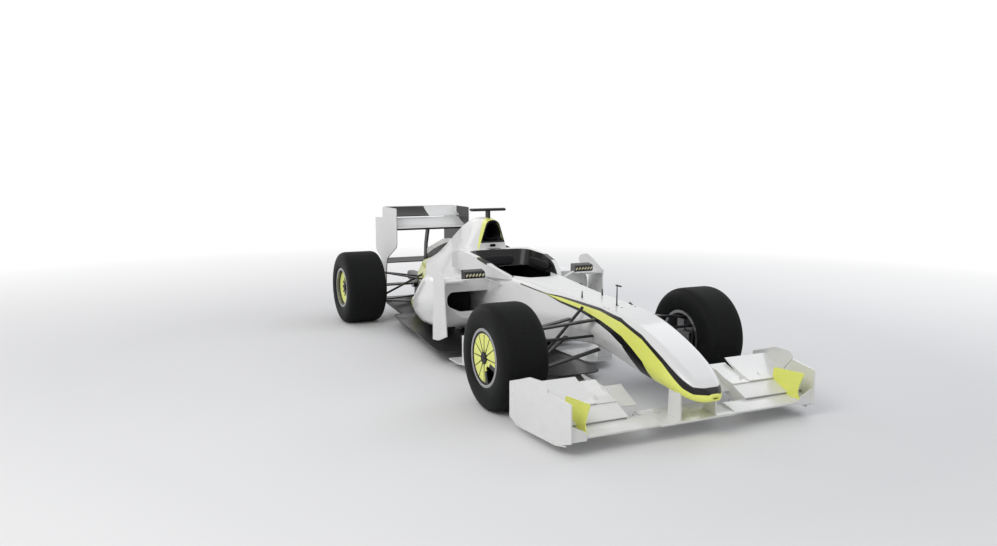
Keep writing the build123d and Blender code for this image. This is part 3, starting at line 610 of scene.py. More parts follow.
@dataclass(frozen=True)
class CarbonFinish:
    """Satin carbon cloth under a thin clear coat."""

    name: str = "carbon_twill"
    tint: Colour = (0.010, 0.0105, 0.012)
    weave_scale: float = 260.0
    dusty: float = 0.35
    thread_contrast: float = 1.9
    dust_on_black: Colour = (0.13, 0.105, 0.085)
    dust_height: float = 0.40
    roughness: float = 0.34
    coat: float = 0.12

    def material(self, effects: SharedEffects) -> Material:
        """Build the material from the shared weave, wear and dust.

        Args:
            effects: The shared node groups.

        Returns:
            The finished material.
        """
        surface = Surface.start(self.name)
        tree = surface.tree
        weave = surface.effect(effects.weave, Scale=self.weave_scale)
        wear = surface.effect(effects.wear, Amount=1.0)
        dust = surface.effect(effects.dust, Reach=self.dust_height)
        lighter = tuple(c * self.thread_contrast for c in self.tint)
        colour = tree.mix(weave["Mask"], self.tint, lighter)
        dusty = tree.mix(tree.times(dust["Mask"], self.dusty), colour, self.dust_on_black)
        surface.set({"Base Color": dusty,
                     "Roughness": tree.plus(self.roughness, tree.times(wear["Rub"], 0.2)),
                     "Coat Weight": self.coat, "Specular IOR Level": 0.25})
        return surface.bump(weave["Height"], 0.00012, 0.35)


@dataclass(frozen=True)
class RubberFinish:
    """A slick's rubber: a scrubbed tread, smooth walls and fine moulding rings."""

    name: str
    axle_x: float
    tread_radius: float = 0.315
    fresh: Colour = (0.005, 0.0055, 0.006)
    weathered: Colour = (0.010, 0.010, 0.010)
    scrubbed: Colour = (0.016, 0.016, 0.016)

    def material(self, effects: SharedEffects) -> Material:
        """Build the material; its rings are struck round the wheel's own axle.

        Args:
            effects: The shared node groups, of which rubber uses none.

        Returns:
            The finished material.
        """
        surface = Surface.start(self.name)
        tree = surface.tree
        radius = surface.around_axle(self.axle_x)[2]
        tread = tree.ramp(radius, self.tread_radius - 0.012, self.tread_radius + 0.006)
        grain = tree.ramp(tree.noise(surface.place, 70.0, 8.0, 0.7), 0.35, 0.75)
        cloud = tree.ramp(tree.noise(surface.place, 5.0, 4.0), 0.35, 0.7)
        wall = tree.mix(tree.times(cloud, 0.5), self.fresh, self.weathered)
        worn = tree.mix(grain, self.fresh, self.scrubbed)
        roughness = tree.plus(tree.ramp(tread, 0.0, 1.0, 0.50, 0.72), tree.times(grain, 0.10))
        surface.set({"Base Color": tree.mix(tread, wall, worn), "Specular IOR Level": 0.12,
                     "Roughness": roughness})
        rings = tree.math("SINE", tree.times(radius, 1400.0))
        band = tree.times(tree.ramp(radius, 0.215, 0.222), tree.ramp(radius, 0.245, 0.238))
        height = tree.plus(tree.times(tree.times(rings, band), 0.5),
                           tree.times(grain, tree.ramp(tread, 0.0, 1.0, 0.15, 1.0)))
        return surface.bump(height, 0.0005, 0.45)


@dataclass(frozen=True)
class MetalFinish:
    """Machined or cast metal with fine grain."""

    name: str
    colour: Colour
    roughness: float = 0.32
    grain_scale: float = 220.0
    stain: float = 0.72

    def material(self, effects: SharedEffects) -> Material:
        """Build the material.

        Args:
            effects: The shared node groups.

        Returns:
            The finished material.
        """
        surface = Surface.start(self.name)
        tree = surface.tree
        wear = surface.effect(effects.wear, Amount=1.0)
        grain = tree.noise(surface.place, self.grain_scale, 4.0, 0.6)
        dark = tuple(c * self.stain for c in self.colour)
        surface.set({"Base Color": tree.mix(wear["Mottle"], self.colour, dark), "Metallic": 1.0,
                     "Roughness": tree.plus(self.roughness - 0.08, tree.times(grain, 0.22))})
        return surface.bump(grain, 0.0002, 0.2)


@dataclass(frozen=True)
class RimFinish:
    """Dark coated magnesium with a machined lip."""

    name: str
    axle_x: float
    lip_start: float = 0.1625
    coat: Colour = (0.035, 0.034, 0.034)
    rubbed_coat: Colour = (0.055, 0.052, 0.050)
    bare_lip: Colour = (0.42, 0.42, 0.43)
    roughness: float = 0.30

    def material(self, effects: SharedEffects) -> Material:
        """Build the material; the lip is told from the barrel by its radius.

        Args:
            effects: The shared node groups.

        Returns:
            The finished material.
        """
        surface = Surface.start(self.name)
        tree = surface.tree
        lip = tree.above(surface.around_axle(self.axle_x)[2], self.lip_start)
        wear = surface.effect(effects.wear, Amount=1.0)
        barrel = tree.mix(wear["Mottle"], self.coat, self.rubbed_coat)
        surface.set({"Base Color": tree.mix(lip, barrel, self.bare_lip),
                     "Metallic": tree.ramp(lip, 0.0, 1.0, 0.55, 0.9),
                     "Roughness": tree.plus(self.roughness, tree.times(wear["Rub"], 0.25))})
        return surface.bump(tree.noise(surface.place, 300.0, 3.0), 0.0001, 0.2)


@dataclass(frozen=True)
class PlasticFinish:
    """Moulded plastic, cloth, laminate or a near-black duct that is partly painted shade: one colour with a
    fine grain of its own.
    """

    name: str
    colour: Colour
    roughness: float = 0.5
    grain: float = 0.25
    grain_scale: Point = (90.0, 90.0, 90.0)
    coat: float = 0.0

    def material(self, effects: SharedEffects) -> Material:
        """Build the material.

        Args:
            effects: The shared node groups.

        Returns:
            The finished material.
        """
        surface = Surface.start(self.name)
        tree = surface.tree
        stretched = tree.add("ShaderNodeMapping", {"Vector": surface.place, "Scale": self.grain_scale})
        noise = tree.noise(stretched.outputs[0], 1.0, 6.0, 0.6)
        wear = surface.effect(effects.wear, Amount=1.0)
        dark = tuple(c * (1.0 - self.grain) for c in self.colour)
        light = tuple(min(1.0, c * (1.0 + self.grain)) for c in self.colour)
        surface.set({"Base Color": tree.mix(noise, dark, light), "Coat Weight": self.coat,
                     "Roughness": tree.plus(self.roughness, tree.times(wear["Rub"], 0.15)),
                     "Specular IOR Level": 0.25})
        return surface.bump(noise, 0.0002, 0.25)


@dataclass(frozen=True)
class GlassFinish:
    """A mirror's face or a lamp's lens."""

    name: str
    colour: Colour
    metallic: float = 0.0
    roughness: float = 0.04
    smear: Colour = (0.5, 0.5, 0.5)

    def material(self, effects: SharedEffects) -> Material:
        """Build the material.

        Args:
            effects: The shared node groups, of which glass uses none.

        Returns:
            The finished material.
        """
        surface = Surface.start(self.name)
        tree = surface.tree
        touched = tree.ramp(tree.noise(surface.place, 30.0, 5.0), 0.4, 0.8)
        surface.set({"Base Color": tree.mix(tree.times(touched, 0.1), self.colour, self.smear),
                     "Metallic": self.metallic,
                     "Roughness": tree.plus(self.roughness, tree.times(touched, 0.08))})
        return surface.material


@dataclass
class Palette:
    """Every finish of the car, built once."""

    effects: SharedEffects
    made: dict[str, Material] = field(default_factory=dict)

    def __post_init__(self) -> None:
        """Build the materials by name."""
        finishes = (
            PaintFinish("white_paint"),
            PaintFinish("nose_paint", Livery.NOSE),
            PaintFinish("cover_paint", Livery.COVER),
            PaintFinish("endplate_paint", Livery.ENDPLATE),
            PaintFinish("rear_plate_paint", Livery.REAR_PLATE),
            PaintFinish("flap_paint", Livery.WING_FLAP),
            PaintFinish("surround_paint", Livery.SURROUND),
            PaintFinish("mirror_paint", Livery.MIRROR),
            PaintFinish("front_disc_paint", Livery.FRONT_DISC),
            PaintFinish("rear_disc_paint", Livery.REAR_DISC),
            CarbonFinish(),
            CarbonFinish("carbon_links", (0.010, 0.010, 0.011), 380.0, 0.2),
            # Inside carbon, darker than the outer carbon: partly the bare carbon's own black, partly painted
            # shade in hollows.
            CarbonFinish("carbon_inside", (0.004, 0.004, 0.005), 240.0, 0.1),
            RubberFinish("front_slick", FRONT_AXLE_X),
            RubberFinish("rear_slick", REAR_AXLE_X),
            RimFinish("front_rim_coat", FRONT_AXLE_X),
            RimFinish("rear_rim_coat", REAR_AXLE_X),
            MetalFinish("upright_metal", (0.42, 0.42, 0.43), 0.36),
            MetalFinish("shaft_steel", (0.36, 0.36, 0.38), 0.30),
            MetalFinish("engine_casting", (0.33, 0.33, 0.34), 0.50, 60.0),
            # Radiator core, near-black: partly its own dark, partly painted shade inside the sidepod inlets.
            MetalFinish("core_alloy", (0.030, 0.030, 0.032), 0.60, 140.0),
            MetalFinish("fastener_steel", (0.35, 0.35, 0.36), 0.28),
            MetalFinish("nut_anodised", (0.05, 0.05, 0.055), 0.35),
            # Near-black duct lining: partly the duct's own dark, partly painted shade in the intake.
            PlasticFinish("dark_duct", (0.003, 0.003, 0.0035), 0.85),
            PlasticFinish("black_trim", (0.007, 0.007, 0.008), 0.42, 0.2, (60.0, 60.0, 60.0), 0.1),
            PlasticFinish("plank_laminate", (0.25, 0.18, 0.11), 0.6, 0.35, (6.0, 90.0, 90.0)),
            PlasticFinish("pad_cover", (0.020, 0.020, 0.022), 0.75, 0.3, (400.0, 400.0, 400.0)),
            PlasticFinish("grip_suede", (0.025, 0.025, 0.027), 0.85, 0.35, (500.0, 500.0, 500.0)),
            PlasticFinish("pale_dash_paint", (0.62, 0.60, 0.40), 0.45, 0.1),
            GlassFinish("mirror_face", (0.72, 0.74, 0.76), 1.0, 0.03),
            GlassFinish("lamp_lens", (0.32, 0.010, 0.010), 0.0, 0.12),
            GlassFinish("camera_lens", (0.01, 0.01, 0.012), 0.0, 0.05),
        )
        for finish in finishes:
            self.made[finish.name] = finish.material(self.effects)

    def __getitem__(self, name: str) -> Material:
        """A finish's material by name."""
        return self.made[name]


def link_object(name: str, data: bpy.types.ID) -> Object:
    """Add an object to the scene, at the origin.

    Args:
        name: Its name.
        data: Its mesh, light or camera.

    Returns:
        The new object.
    """
    thing = bpy.data.objects.new(name, data)
    bpy.context.scene.collection.objects.link(thing)
    return thing


def mesh_data(name: str, mesh: BMesh) -> bpy.types.Mesh:
    """Turn a bmesh into a plain mesh.

    Args:
        name: The mesh's name.
        mesh: The bmesh, which is freed.

    Returns:
        The plain mesh.
    """
    data = bpy.data.meshes.new(name)
    mesh.to_mesh(data)
    mesh.free()
    return data


def smooth(data: bpy.types.Mesh, angle: float) -> None:
    """Shade a mesh smooth, apart from its sharp edges."""
    data.polygons.foreach_set("use_smooth", [True] * len(data.polygons))
    data.set_sharp_from_angle(angle=math.radians(angle))


def loft_rings(mesh: BMesh, rings: Sequence[Sequence[Point]], closed: bool = False) -> None:
    """Join rings of equal length with quads.

    Args:
        mesh: The mesh to add to.
        rings: Closed rings of points.
        closed: Whether the last ring joins the first; if not, a face closes each end.
    """
    rows = [[mesh.verts.new(p) for p in ring] for ring in rings]
    count = len(rows[0])
    for first, second in zip(rows, rows[1:] + rows[:1] if closed else rows[1:]):
        for i in range(count):
            j = (i + 1) % count
            mesh.faces.new((first[i], first[j], second[j], second[i]))
    if not closed:
        mesh.faces.new(rows[0])
        mesh.faces.new(rows[-1])


def lathe(mesh: BMesh, profile: Sequence[Flat], centre: Point, segments: int) -> None:
    """Turn a closed profile about an axle along Y.

    Args:
        mesh: The mesh to add to.
        profile: (radius, offset along the axle) pairs.
        centre: The point of the axle that offsets are counted from.
        segments: The steps round the axle.
    """
    x, y, z = centre
    loft_rings(mesh, [[(x + r * math.cos(turn), y + o, z + r * math.sin(turn)) for r, o in profile]
                      for turn in turns(segments)], closed=True)


def rounded(points: Sequence[Flat], rounds: int = 2) -> list[Flat]:
    """Round a closed outline's corners by cutting them off again and again.

    Args:
        points: The outline's corners.
        rounds: How often they are cut.

    Returns:
        The rounded outline.
    """
    line = list(points)
    for _ in range(rounds):
        cut = []
        for i, (x, y) in enumerate(line):
            u, v = line[(i + 1) % len(line)]
            cut += [(0.75 * x + 0.25 * u, 0.75 * y + 0.25 * v), (0.25 * x + 0.75 * u, 0.25 * y + 0.75 * v)]
        line = cut
    return line


def level_ring(x: float, y: float, z: float, half_x: float, half_y: float) -> list[Point]:
    """A level rectangle round a centre."""
    return [(x - half_x, y - half_y, z), (x + half_x, y - half_y, z), (x + half_x, y + half_y, z),
            (x - half_x, y + half_y, z)]


def tube(mesh: BMesh, path: Sequence[Point], radii: Sequence[float], sides: int = 16) -> None:
    """A closed round tube along a path.

    Args:
        mesh: The mesh to add to.
        path: The points of its middle line.
        radii: Its radius at each point.
        sides: The steps round it.
    """
    points = [Vector(p) for p in path]
    rings = []
    for i, point in enumerate(points):
        along = (points[min(i + 1, len(points) - 1)] - points[max(i - 1, 0)]).normalized()
        helper = Vector((0, 0, 1)) if abs(along.z) < 0.9 else Vector((1, 0, 0))
        first = along.cross(helper).normalized()
        second = along.cross(first)
        rings.append([tuple(point + (first * math.cos(turn) + second * math.sin(turn)) * radii[i])
                      for turn in turns(sides)])
    loft_rings(mesh, rings)


def slab(mesh: BMesh, outline: Sequence[Point], push: Point) -> None:
    """A prism on a closed outline of points, pushed along a vector."""
    shift = Vector(push)
    loft_rings(mesh, [list(outline), [tuple(Vector(p) + shift) for p in outline]])


def loose_shape(name: str, rings: Sequence[Sequence[Point]]) -> Object:
    """A small lofted shape at the origin, for an InstanceField to repeat.

    Args:
        name: Its name.
        rings: Its rings, from the foot up.

    Returns:
        The shape's object.
    """
    mesh = bmesh.new()
    loft_rings(mesh, rings)
    bmesh.ops.recalc_face_normals(mesh, faces=mesh.faces)
    return link_object(name, mesh_data(name, mesh))


def screw_shape() -> Object:
    """A countersunk quarter-turn fastener's head, with its recess, for a radius of 1.

    Returns:
        The loose object that the repeats copy.
    """
    steps = ((1.0, -0.2), (1.0, 0.06), (0.86, 0.12), (0.5, 0.13), (0.42, 0.02))
    return loose_shape("fastener_head", [[(radius * math.cos(turn), radius * math.sin(turn), height)
                                          for turn in turns(12)] for radius, height in steps])


def box_shape() -> Object:
    """A unit block centred on x and y, standing on z 0, its upper edges bevelled."""
    return loose_shape("bevelled_block", [level_ring(0.0, 0.0, height, half, half)
                                          for half, height in ((0.5, 0.0), (0.5, 0.8), (0.42, 1.0))])


class InstanceField:
    """Geometry Nodes that stand one small shape on each point of a list and make it a plain mesh."""

    def __init__(self, name: str, points: Sequence[Point], facings: Sequence[Point]) -> None:
        """Keep the points and the way that each faces.

        Args:
            name: The finished piece's name.
            points: Where each shape stands.
            facings: The direction that each shape's own Z takes.
        """
        self.name = name
        self.points = points
        self.facings = facings

    def build(self, shape: Object, material: Material, sizes: Point, spread: float) -> Object:
        """Instance the shape and realize it.

        Args:
            shape: The small shape, at the origin, its foot at z 0.
            material: The finished piece's material.
            sizes: The shape's scale on its three axes.
            spread: How far each shape may be turned about its own Z, in radians.

        Returns:
            The finished piece.
        """
        data = bpy.data.meshes.new(self.name + "_points")
        data.from_pydata([tuple(p) for p in self.points], [], [])
        facing = data.attributes.new("facing", "FLOAT_VECTOR", "POINT")
        facing.data.foreach_set("vector", [c for f in self.facings for c in f])
        holder = link_object(self.name + "_points", data)
        group = self.build_tree(shape, material)
        modifier = holder.modifiers.new("stand", "NODES")
        modifier.node_group = group
        wanted = {"Sizes": sizes, "Spread": spread}
        for item in group.interface.items_tree:
            if item.item_type == "SOCKET" and item.in_out == "INPUT" and item.name in wanted:
                modifier[item.identifier] = wanted[item.name]
        bpy.context.view_layer.update()
        evaluated = holder.evaluated_get(bpy.context.evaluated_depsgraph_get())
        result = bpy.data.meshes.new_from_object(evaluated)
        holder.modifiers.remove(modifier)
        bpy.data.objects.remove(holder)
        bpy.data.objects.remove(shape)
        result.materials.clear()
        result.materials.append(material)
        smooth(result, 35.0)
        return link_object(self.name, result)

    def build_tree(self, shape: Object, material: Material) -> NodeTree:
        """Make the tree: instances on points, turned to their facing, realized and given the material.

        Args:
            shape: The small shape.
            material: The finished piece's material.

        Returns:
            The tree, with its sizes and spread as named inputs.
        """
        group, tree, start, end = new_group(
            self.name + "_tree", "GeometryNodeTree",
            [("Geometry", GEOMETRY, None), ("Sizes", VECTOR, (1.0, 1.0, 1.0)), ("Spread", FLOAT, None)],
            [("Geometry", GEOMETRY)])
        cloud = tree.add("GeometryNodeMeshToPoints", {"Mesh": start["Geometry"]})
        source = tree.add("GeometryNodeObjectInfo", {"Object": shape})
        facing = tree.add("GeometryNodeInputNamedAttribute", {"Name": "facing"}, data_type="FLOAT_VECTOR")
        align = tree.add("FunctionNodeAlignRotationToVector", {"Vector": facing.outputs["Attribute"]},
                         axis="Z")
        chance = tree.add("FunctionNodeRandomValue", {"Seed": 7}, data_type="FLOAT")
        turn = tree.add("ShaderNodeCombineXYZ", {"Z": tree.times(chance.outputs[1], start["Spread"])})
        rotate = tree.add("FunctionNodeRotateRotation", {
            "Rotation": align.outputs["Rotation"], "Rotate By": turn.outputs[0]}, rotation_space="LOCAL")
        stand = tree.add("GeometryNodeInstanceOnPoints", {
            "Points": cloud.outputs["Points"], "Instance": source.outputs["Geometry"],
            "Rotation": rotate.outputs["Rotation"], "Scale": start["Sizes"]})
        real = tree.add("GeometryNodeRealizeInstances", {"Geometry": stand.outputs["Instances"]})
        paint = tree.add("GeometryNodeSetMaterial", {
            "Geometry": real.outputs["Geometry"], "Material": material})
        tree.feed(end["Geometry"], paint.outputs["Geometry"])
        return group


@dataclass
class PackedNodes:
    """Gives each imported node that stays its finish, outside and inside."""

    palette: Palette
    finishes: dict[str, tuple[str, ...]] = field(default_factory=lambda: {
        "nose_paint": ("monocoque", "nose_cone"),
        "surround_paint": ("head_surround",),
        "cover_paint": ("engine_cover", "sidepod"),
        "white_paint": ("front_wing_main_plane", "front_wing_pylons", "rear_wing_main_plane", "sidepod_vane",
                        "bargeboard", "front_wing_flap"),
        "flap_paint": ("rear_wing_flap",),
        "endplate_paint": ("front_endplate",),
        "rear_plate_paint": ("rear_endplate",),
        "mirror_paint": ("mirror",),
        "front_disc_paint": ("wheel_cover",),
        "carbon_twill": ("steering_wheel", "gearbox", "crash_structure", "floor", "diffuser",
                         "rear_beam_wing", "rear_wing_pylon"),
        # The bulkhead and seat wear the inside carbon too, with its painted shade.
        "carbon_inside": ("cockpit_bulkhead", "seat"),
        "carbon_links": ("steering_rack", "front_suspension", "rear_suspension"),
        "black_trim": ("camera_pod",),
        "engine_casting": ("engine",),
        "plank_laminate": ("plank",),
        "core_alloy": ("radiator",),
        "upright_metal": ("knuckle",),
        "front_rim_coat": ("front_rim",),
        "rear_rim_coat": ("rear_rim",),
        "shaft_steel": ("driveshaft",),
    })
    hollow: tuple[str, ...] = ("monocoque", "engine_cover", "sidepod_left", "sidepod_right")
    rays_to_meet: int = 6

    def dress(self) -> None:
        """Give every listed node its finish."""
        for finish, stems in self.finishes.items():
            for name in (name for stem in stems for name in self.names(stem)):
                self.dress_node(name, finish)

    def names(self, stem: str) -> list[str]:
        """The node that a stem names, or else the two sides' nodes."""
        return [stem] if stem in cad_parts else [f"{stem}_{side.word}" for side in Side]

    def dress_node(self, name: str, finish: str) -> None:
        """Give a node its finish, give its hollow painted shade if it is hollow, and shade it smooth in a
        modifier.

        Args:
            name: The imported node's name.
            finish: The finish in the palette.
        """
        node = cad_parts.get(name)
        if node is None:
            LOG.warning("no packed node %s", name)
            return
        node.data.materials.clear()
        node.data.materials.append(self.palette[finish])
        if name in self.hollow:
            self.darken_inside(node)
        modifier = node.modifiers.new("smooth", "NODES")
        modifier.node_group = bpy.data.node_groups.get("smooth_packed_node") or self.smoothing_tree()

    def smoothing_tree(self) -> NodeTree:
        """Merge the loose triangles, then shade smoothly wherever two faces meet at a small angle.

        Returns:
            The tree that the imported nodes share.
        """
        group, tree, start, end = new_group(
            "smooth_packed_node", "GeometryNodeTree",
            [("Geometry", GEOMETRY, None), ("Angle", FLOAT, math.radians(26.0))], [("Geometry", GEOMETRY)])
        merge = tree.add("GeometryNodeMergeByDistance", {"Geometry": start["Geometry"], "Distance": 1e-5})
        faces = tree.add("GeometryNodeSetShadeSmooth", {"Geometry": merge.outputs["Geometry"]}, domain="FACE")
        angle = tree.add("GeometryNodeInputMeshEdgeAngle").outputs["Unsigned Angle"]
        gentle = tree.add("FunctionNodeCompare", {0: angle, 1: start["Angle"]}, data_type="FLOAT",
                          operation="LESS_EQUAL")
        edges = tree.add("GeometryNodeSetShadeSmooth", {
            "Geometry": faces.outputs["Geometry"], "Shade Smooth": gentle.outputs[0]}, domain="EDGE")
        tree.feed(end["Geometry"], edges.outputs["Geometry"])
        return group

    def darken_inside(self, node: Object) -> None:
        """Give the faces of a shell's hollow the bare inside's carbon, made darker than the outer carbon as
        painted shade.

        Args:
            node: The shell's object.
        """
        data = node.data
        data.materials.append(self.palette["carbon_inside"])
        shell = BVHTree.FromPolygons([v.co for v in data.vertices], [p.vertices for p in data.polygons])
        for face in data.polygons:
            if self.closed_in(shell, face.center, face.normal):
                face.material_index = 1

    def closed_in(self, shell: BVHTree, place: Vector, normal: Vector) -> bool:
        """Whether a face looks into the shell's hollow: most rays that leave it meet the shell again.

        Args:
            shell: The shell's own faces.
            place: The face's middle.
            normal: The way that the face looks.

        Returns:
            True for a face of the hollow.
        """
        side = normal.orthogonal().normalized()
        other = normal.cross(side)
        ways = [normal] + [normal * 0.6 + (side * math.cos(turn) + other * math.sin(turn)) * 0.8
                           for turn in turns(8)]
        start = place + normal * 0.0005
        met = sum(shell.ray_cast(start, way)[0] is not None for way in ways)
        return met >= self.rays_to_meet


@dataclass
class Trim:
    """What every group of trim shares: the palette and the two ways to add a piece."""

    palette: Palette

    def piece(self, name: str, mesh: BMesh, finish: str, body: str = "chassis", angle: float = 32.0,
              slot: str | None = None) -> Object:
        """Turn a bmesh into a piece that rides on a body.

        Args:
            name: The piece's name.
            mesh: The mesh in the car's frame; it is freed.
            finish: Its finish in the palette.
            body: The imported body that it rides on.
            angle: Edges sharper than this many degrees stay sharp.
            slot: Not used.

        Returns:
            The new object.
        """
        bmesh.ops.remove_doubles(mesh, verts=mesh.verts, dist=1e-6)
        bmesh.ops.recalc_face_normals(mesh, faces=mesh.faces)
        data = mesh_data(name, mesh)
        data.materials.append(self.palette[finish])
        smooth(data, angle)
        piece = link_object(name, data)
        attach(piece, body)
        return piece

    def repeat(self, name: str, shape: Object, points: Sequence[Point], facings: Sequence[Point],
               finish: str, sizes: Point = (1.0, 1.0, 1.0), spread: float = 0.0,
               body: str = "chassis") -> None:
        """Stand a small shape on each point, as one piece that rides on a body.

        Args:
            name: The piece's name.
            shape: The small shape.
            points: Where each shape stands.
            facings: The way that each shape faces, or one way for all.
            finish: The piece's finish in the palette.
            sizes: The shape's scale on its three axes.
            spread: How far each shape may be turned about its own Z, in radians.
            body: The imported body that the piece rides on.
        """
        ways = list(facings) * len(points) if len(facings) == 1 else facings
        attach(InstanceField(name, points, ways).build(shape, self.palette[finish], sizes, spread), body)


@dataclass
class Slick(Trim):
    """One tyre: a crowned tread, round shoulders and bulging walls."""

    side: Side
    front: bool
    front_half_width: float = 0.154
    rear_half_width: float = 0.1805
    wall_steps: Section = ((0.1724, 0.030), (0.1735, 0.026), (0.1835, 0.0172), (0.186, 0.0110),
                           (0.200, 0.0050), (0.225, 0.0008), (0.252, 0.0), (0.276, 0.0030),
                           (0.296, 0.0085), (0.311, 0.0170), (0.3205, 0.0280), (0.3262, 0.0410),
                           (0.3290, 0.0580), (0.3300, 0.0800))

    @property
    def end(self) -> str:
        """The end of the car that the tyre is at."""
        return "front" if self.front else "rear"

    @property
    def centre(self) -> Point:
        """The wheel's centre."""
        x, y = (FRONT_AXLE_X, FRONT_WHEEL_Y) if self.front else (REAR_AXLE_X, REAR_WHEEL_Y)
        return (x, self.side.value * y, AXLE_HEIGHT)

    def profile(self) -> list[Flat]:
        """The tyre's closed section, from one bead over the tread to the other.

        Returns:
            (radius, offset from the wheel's middle) pairs.
        """
        wall = self.front_half_width if self.front else self.rear_half_width
        half_line = [(r, wall - inward) for r, inward in self.wall_steps]
        return half_line + [(r, -o) for r, o in reversed(half_line)]

    def build(self) -> Object:
        """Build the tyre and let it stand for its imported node.

        Returns:
            The tyre.
        """
        line = self.profile()
        fine = []
        for i, point in enumerate(line):
            fine.append(point)
            if 0 < i < len(line) - 2:
                fine.append(self.between(line[i - 1:i + 3]))
        mesh = bmesh.new()
        lathe(mesh, fine, self.centre, 128)
        piece = self.piece(f"{self.end}_slick_{self.side.word}", mesh, f"{self.end}_slick",
                           f"{self.end}_wheel_{self.side.word}", 60.0, "tyre_rubber")
        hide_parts(f"{self.end}_tyre_{self.side.word}")
        return piece

    def between(self, around: Sequence[Flat]) -> Flat:
        """The point half way along a smooth curve between the middle two of four points."""
        weights = (-0.0625, 0.5625, 0.5625, -0.0625)
        return tuple(sum(w * p[axis] for w, p in zip(weights, around)) for axis in (0, 1))


@dataclass
class FrontWheelTrim(Trim):
    """What dresses the still front cover."""

    side: Side
    spokes: int = 12
    exit_gap: Flat = (292.0, 345.0)
    rib_steps: Section = ((0.0110, 0.034), (0.0060, 0.062), (0.0042, 0.149))
    rib_half_thick: float = 0.0022
    cap_section: Section = ((0.0, 0.0), (0.038, 0.0), (0.038, 0.004), (0.030, 0.008), (0.026, 0.0065),
                            (0.012, 0.0065), (0.008, 0.0085), (0.0, 0.0085))
    cover_face: float = 0.8763

    def build(self) -> None:
        """Add the cover's dark radial ribs, which leave the air exit free, and its hub cap."""
        sign, word = self.side.value, self.side.word
        centre = (FRONT_AXLE_X, sign * self.cover_face, AXLE_HEIGHT)
        foot = (centre[0], centre[1] - sign * 0.0008, centre[2])
        first, last = self.exit_gap
        kept = [turn for turn in turns(self.spokes) if not math.radians(first) < turn < math.radians(last)]
        rib = loose_shape("cover_rib", [level_ring(0.0, 0.0, reach, width / 2, self.rib_half_thick)
                                        for width, reach in self.rib_steps])
        self.repeat(f"cover_ribs_{word}", rib, [foot] * len(kept),
                    [(math.cos(turn), 0.0, math.sin(turn)) for turn in kept], "black_trim",
                    body=f"front_knuckle_{word}")
        cap = bmesh.new()
        lathe(cap, [(r, sign * o) for r, o in self.cap_section], centre, 48)
        self.piece(f"cover_hub_cap_{word}", cap, "black_trim", f"front_knuckle_{word}")


@dataclass
class RearWheelTrim(Trim):
    """The rear wheel's yellow dish with a dark star and its nut."""

    side: Side
    face: float = 0.790
    star_points: int = 10
    star_tip: float = 0.094
    star_root: float = 0.058
    star_thick: float = 0.004
    star_middle: Flat = (0.041, 0.036)
    dish_section: Section = ((0.050, 0.036), (0.152, 0.048), (0.1625, 0.054), (0.1625, 0.058), (0.150, 0.052),
                             (0.050, 0.040))
    nut_section: Section = ((0.0, 0.002), (0.030, 0.002), (0.030, 0.052), (0.026, 0.057), (0.014, 0.057),
                            (0.012, 0.049), (0.0, 0.049))

    def build(self) -> None:
        """Add the dish, the star and the wheel nut."""
        sign, word = self.side.value, self.side.word
        body = f"rear_wheel_{word}"
        centre = (REAR_AXLE_X, sign * self.face, AXLE_HEIGHT)
        dish = bmesh.new()
        lathe(dish, [(r, sign * o) for r, o in self.dish_section], centre, 72)
        self.piece(f"rear_dish_{word}", dish, "rear_disc_paint", body)
        self.piece(f"rear_star_{word}", self.star(centre), "black_trim", body, 20.0)
        nut = bmesh.new()
        lathe(nut, [(r, sign * o) for r, o in self.nut_section], centre, 12)
        self.piece(f"rear_nut_{word}", nut, "nut_anodised", body, 20.0)

    def star(self, centre: Point) -> BMesh:
        """A thin star that lies on the dish.

        Args:
            centre: The wheel's middle on its outer face.

        Returns:
            The star's mesh.
        """
        sign = self.side.value
        x, y, z = centre
        star = bmesh.new()
        middle_top, middle_low = (star.verts.new((x, y + sign * lift, z)) for lift in self.star_middle)
        top, low = [], []
        for k, turn in enumerate(turns(self.star_points * 2)):
            reach = self.star_tip if k % 2 == 0 else self.star_root
            lift = 0.0425 + (reach - 0.050) * 0.12
            across, up = x + reach * math.cos(turn), z + reach * math.sin(turn)
            top.append(star.verts.new((across, y + sign * lift, up)))
            low.append(star.verts.new((across, y + sign * (lift - self.star_thick), up)))
        for k in range(len(top)):
            j = (k + 1) % len(top)
            star.faces.new((middle_top, top[k], top[j]))
            star.faces.new((middle_low, low[j], low[k]))
            star.faces.new((top[k], low[k], low[j], top[j]))
        return star


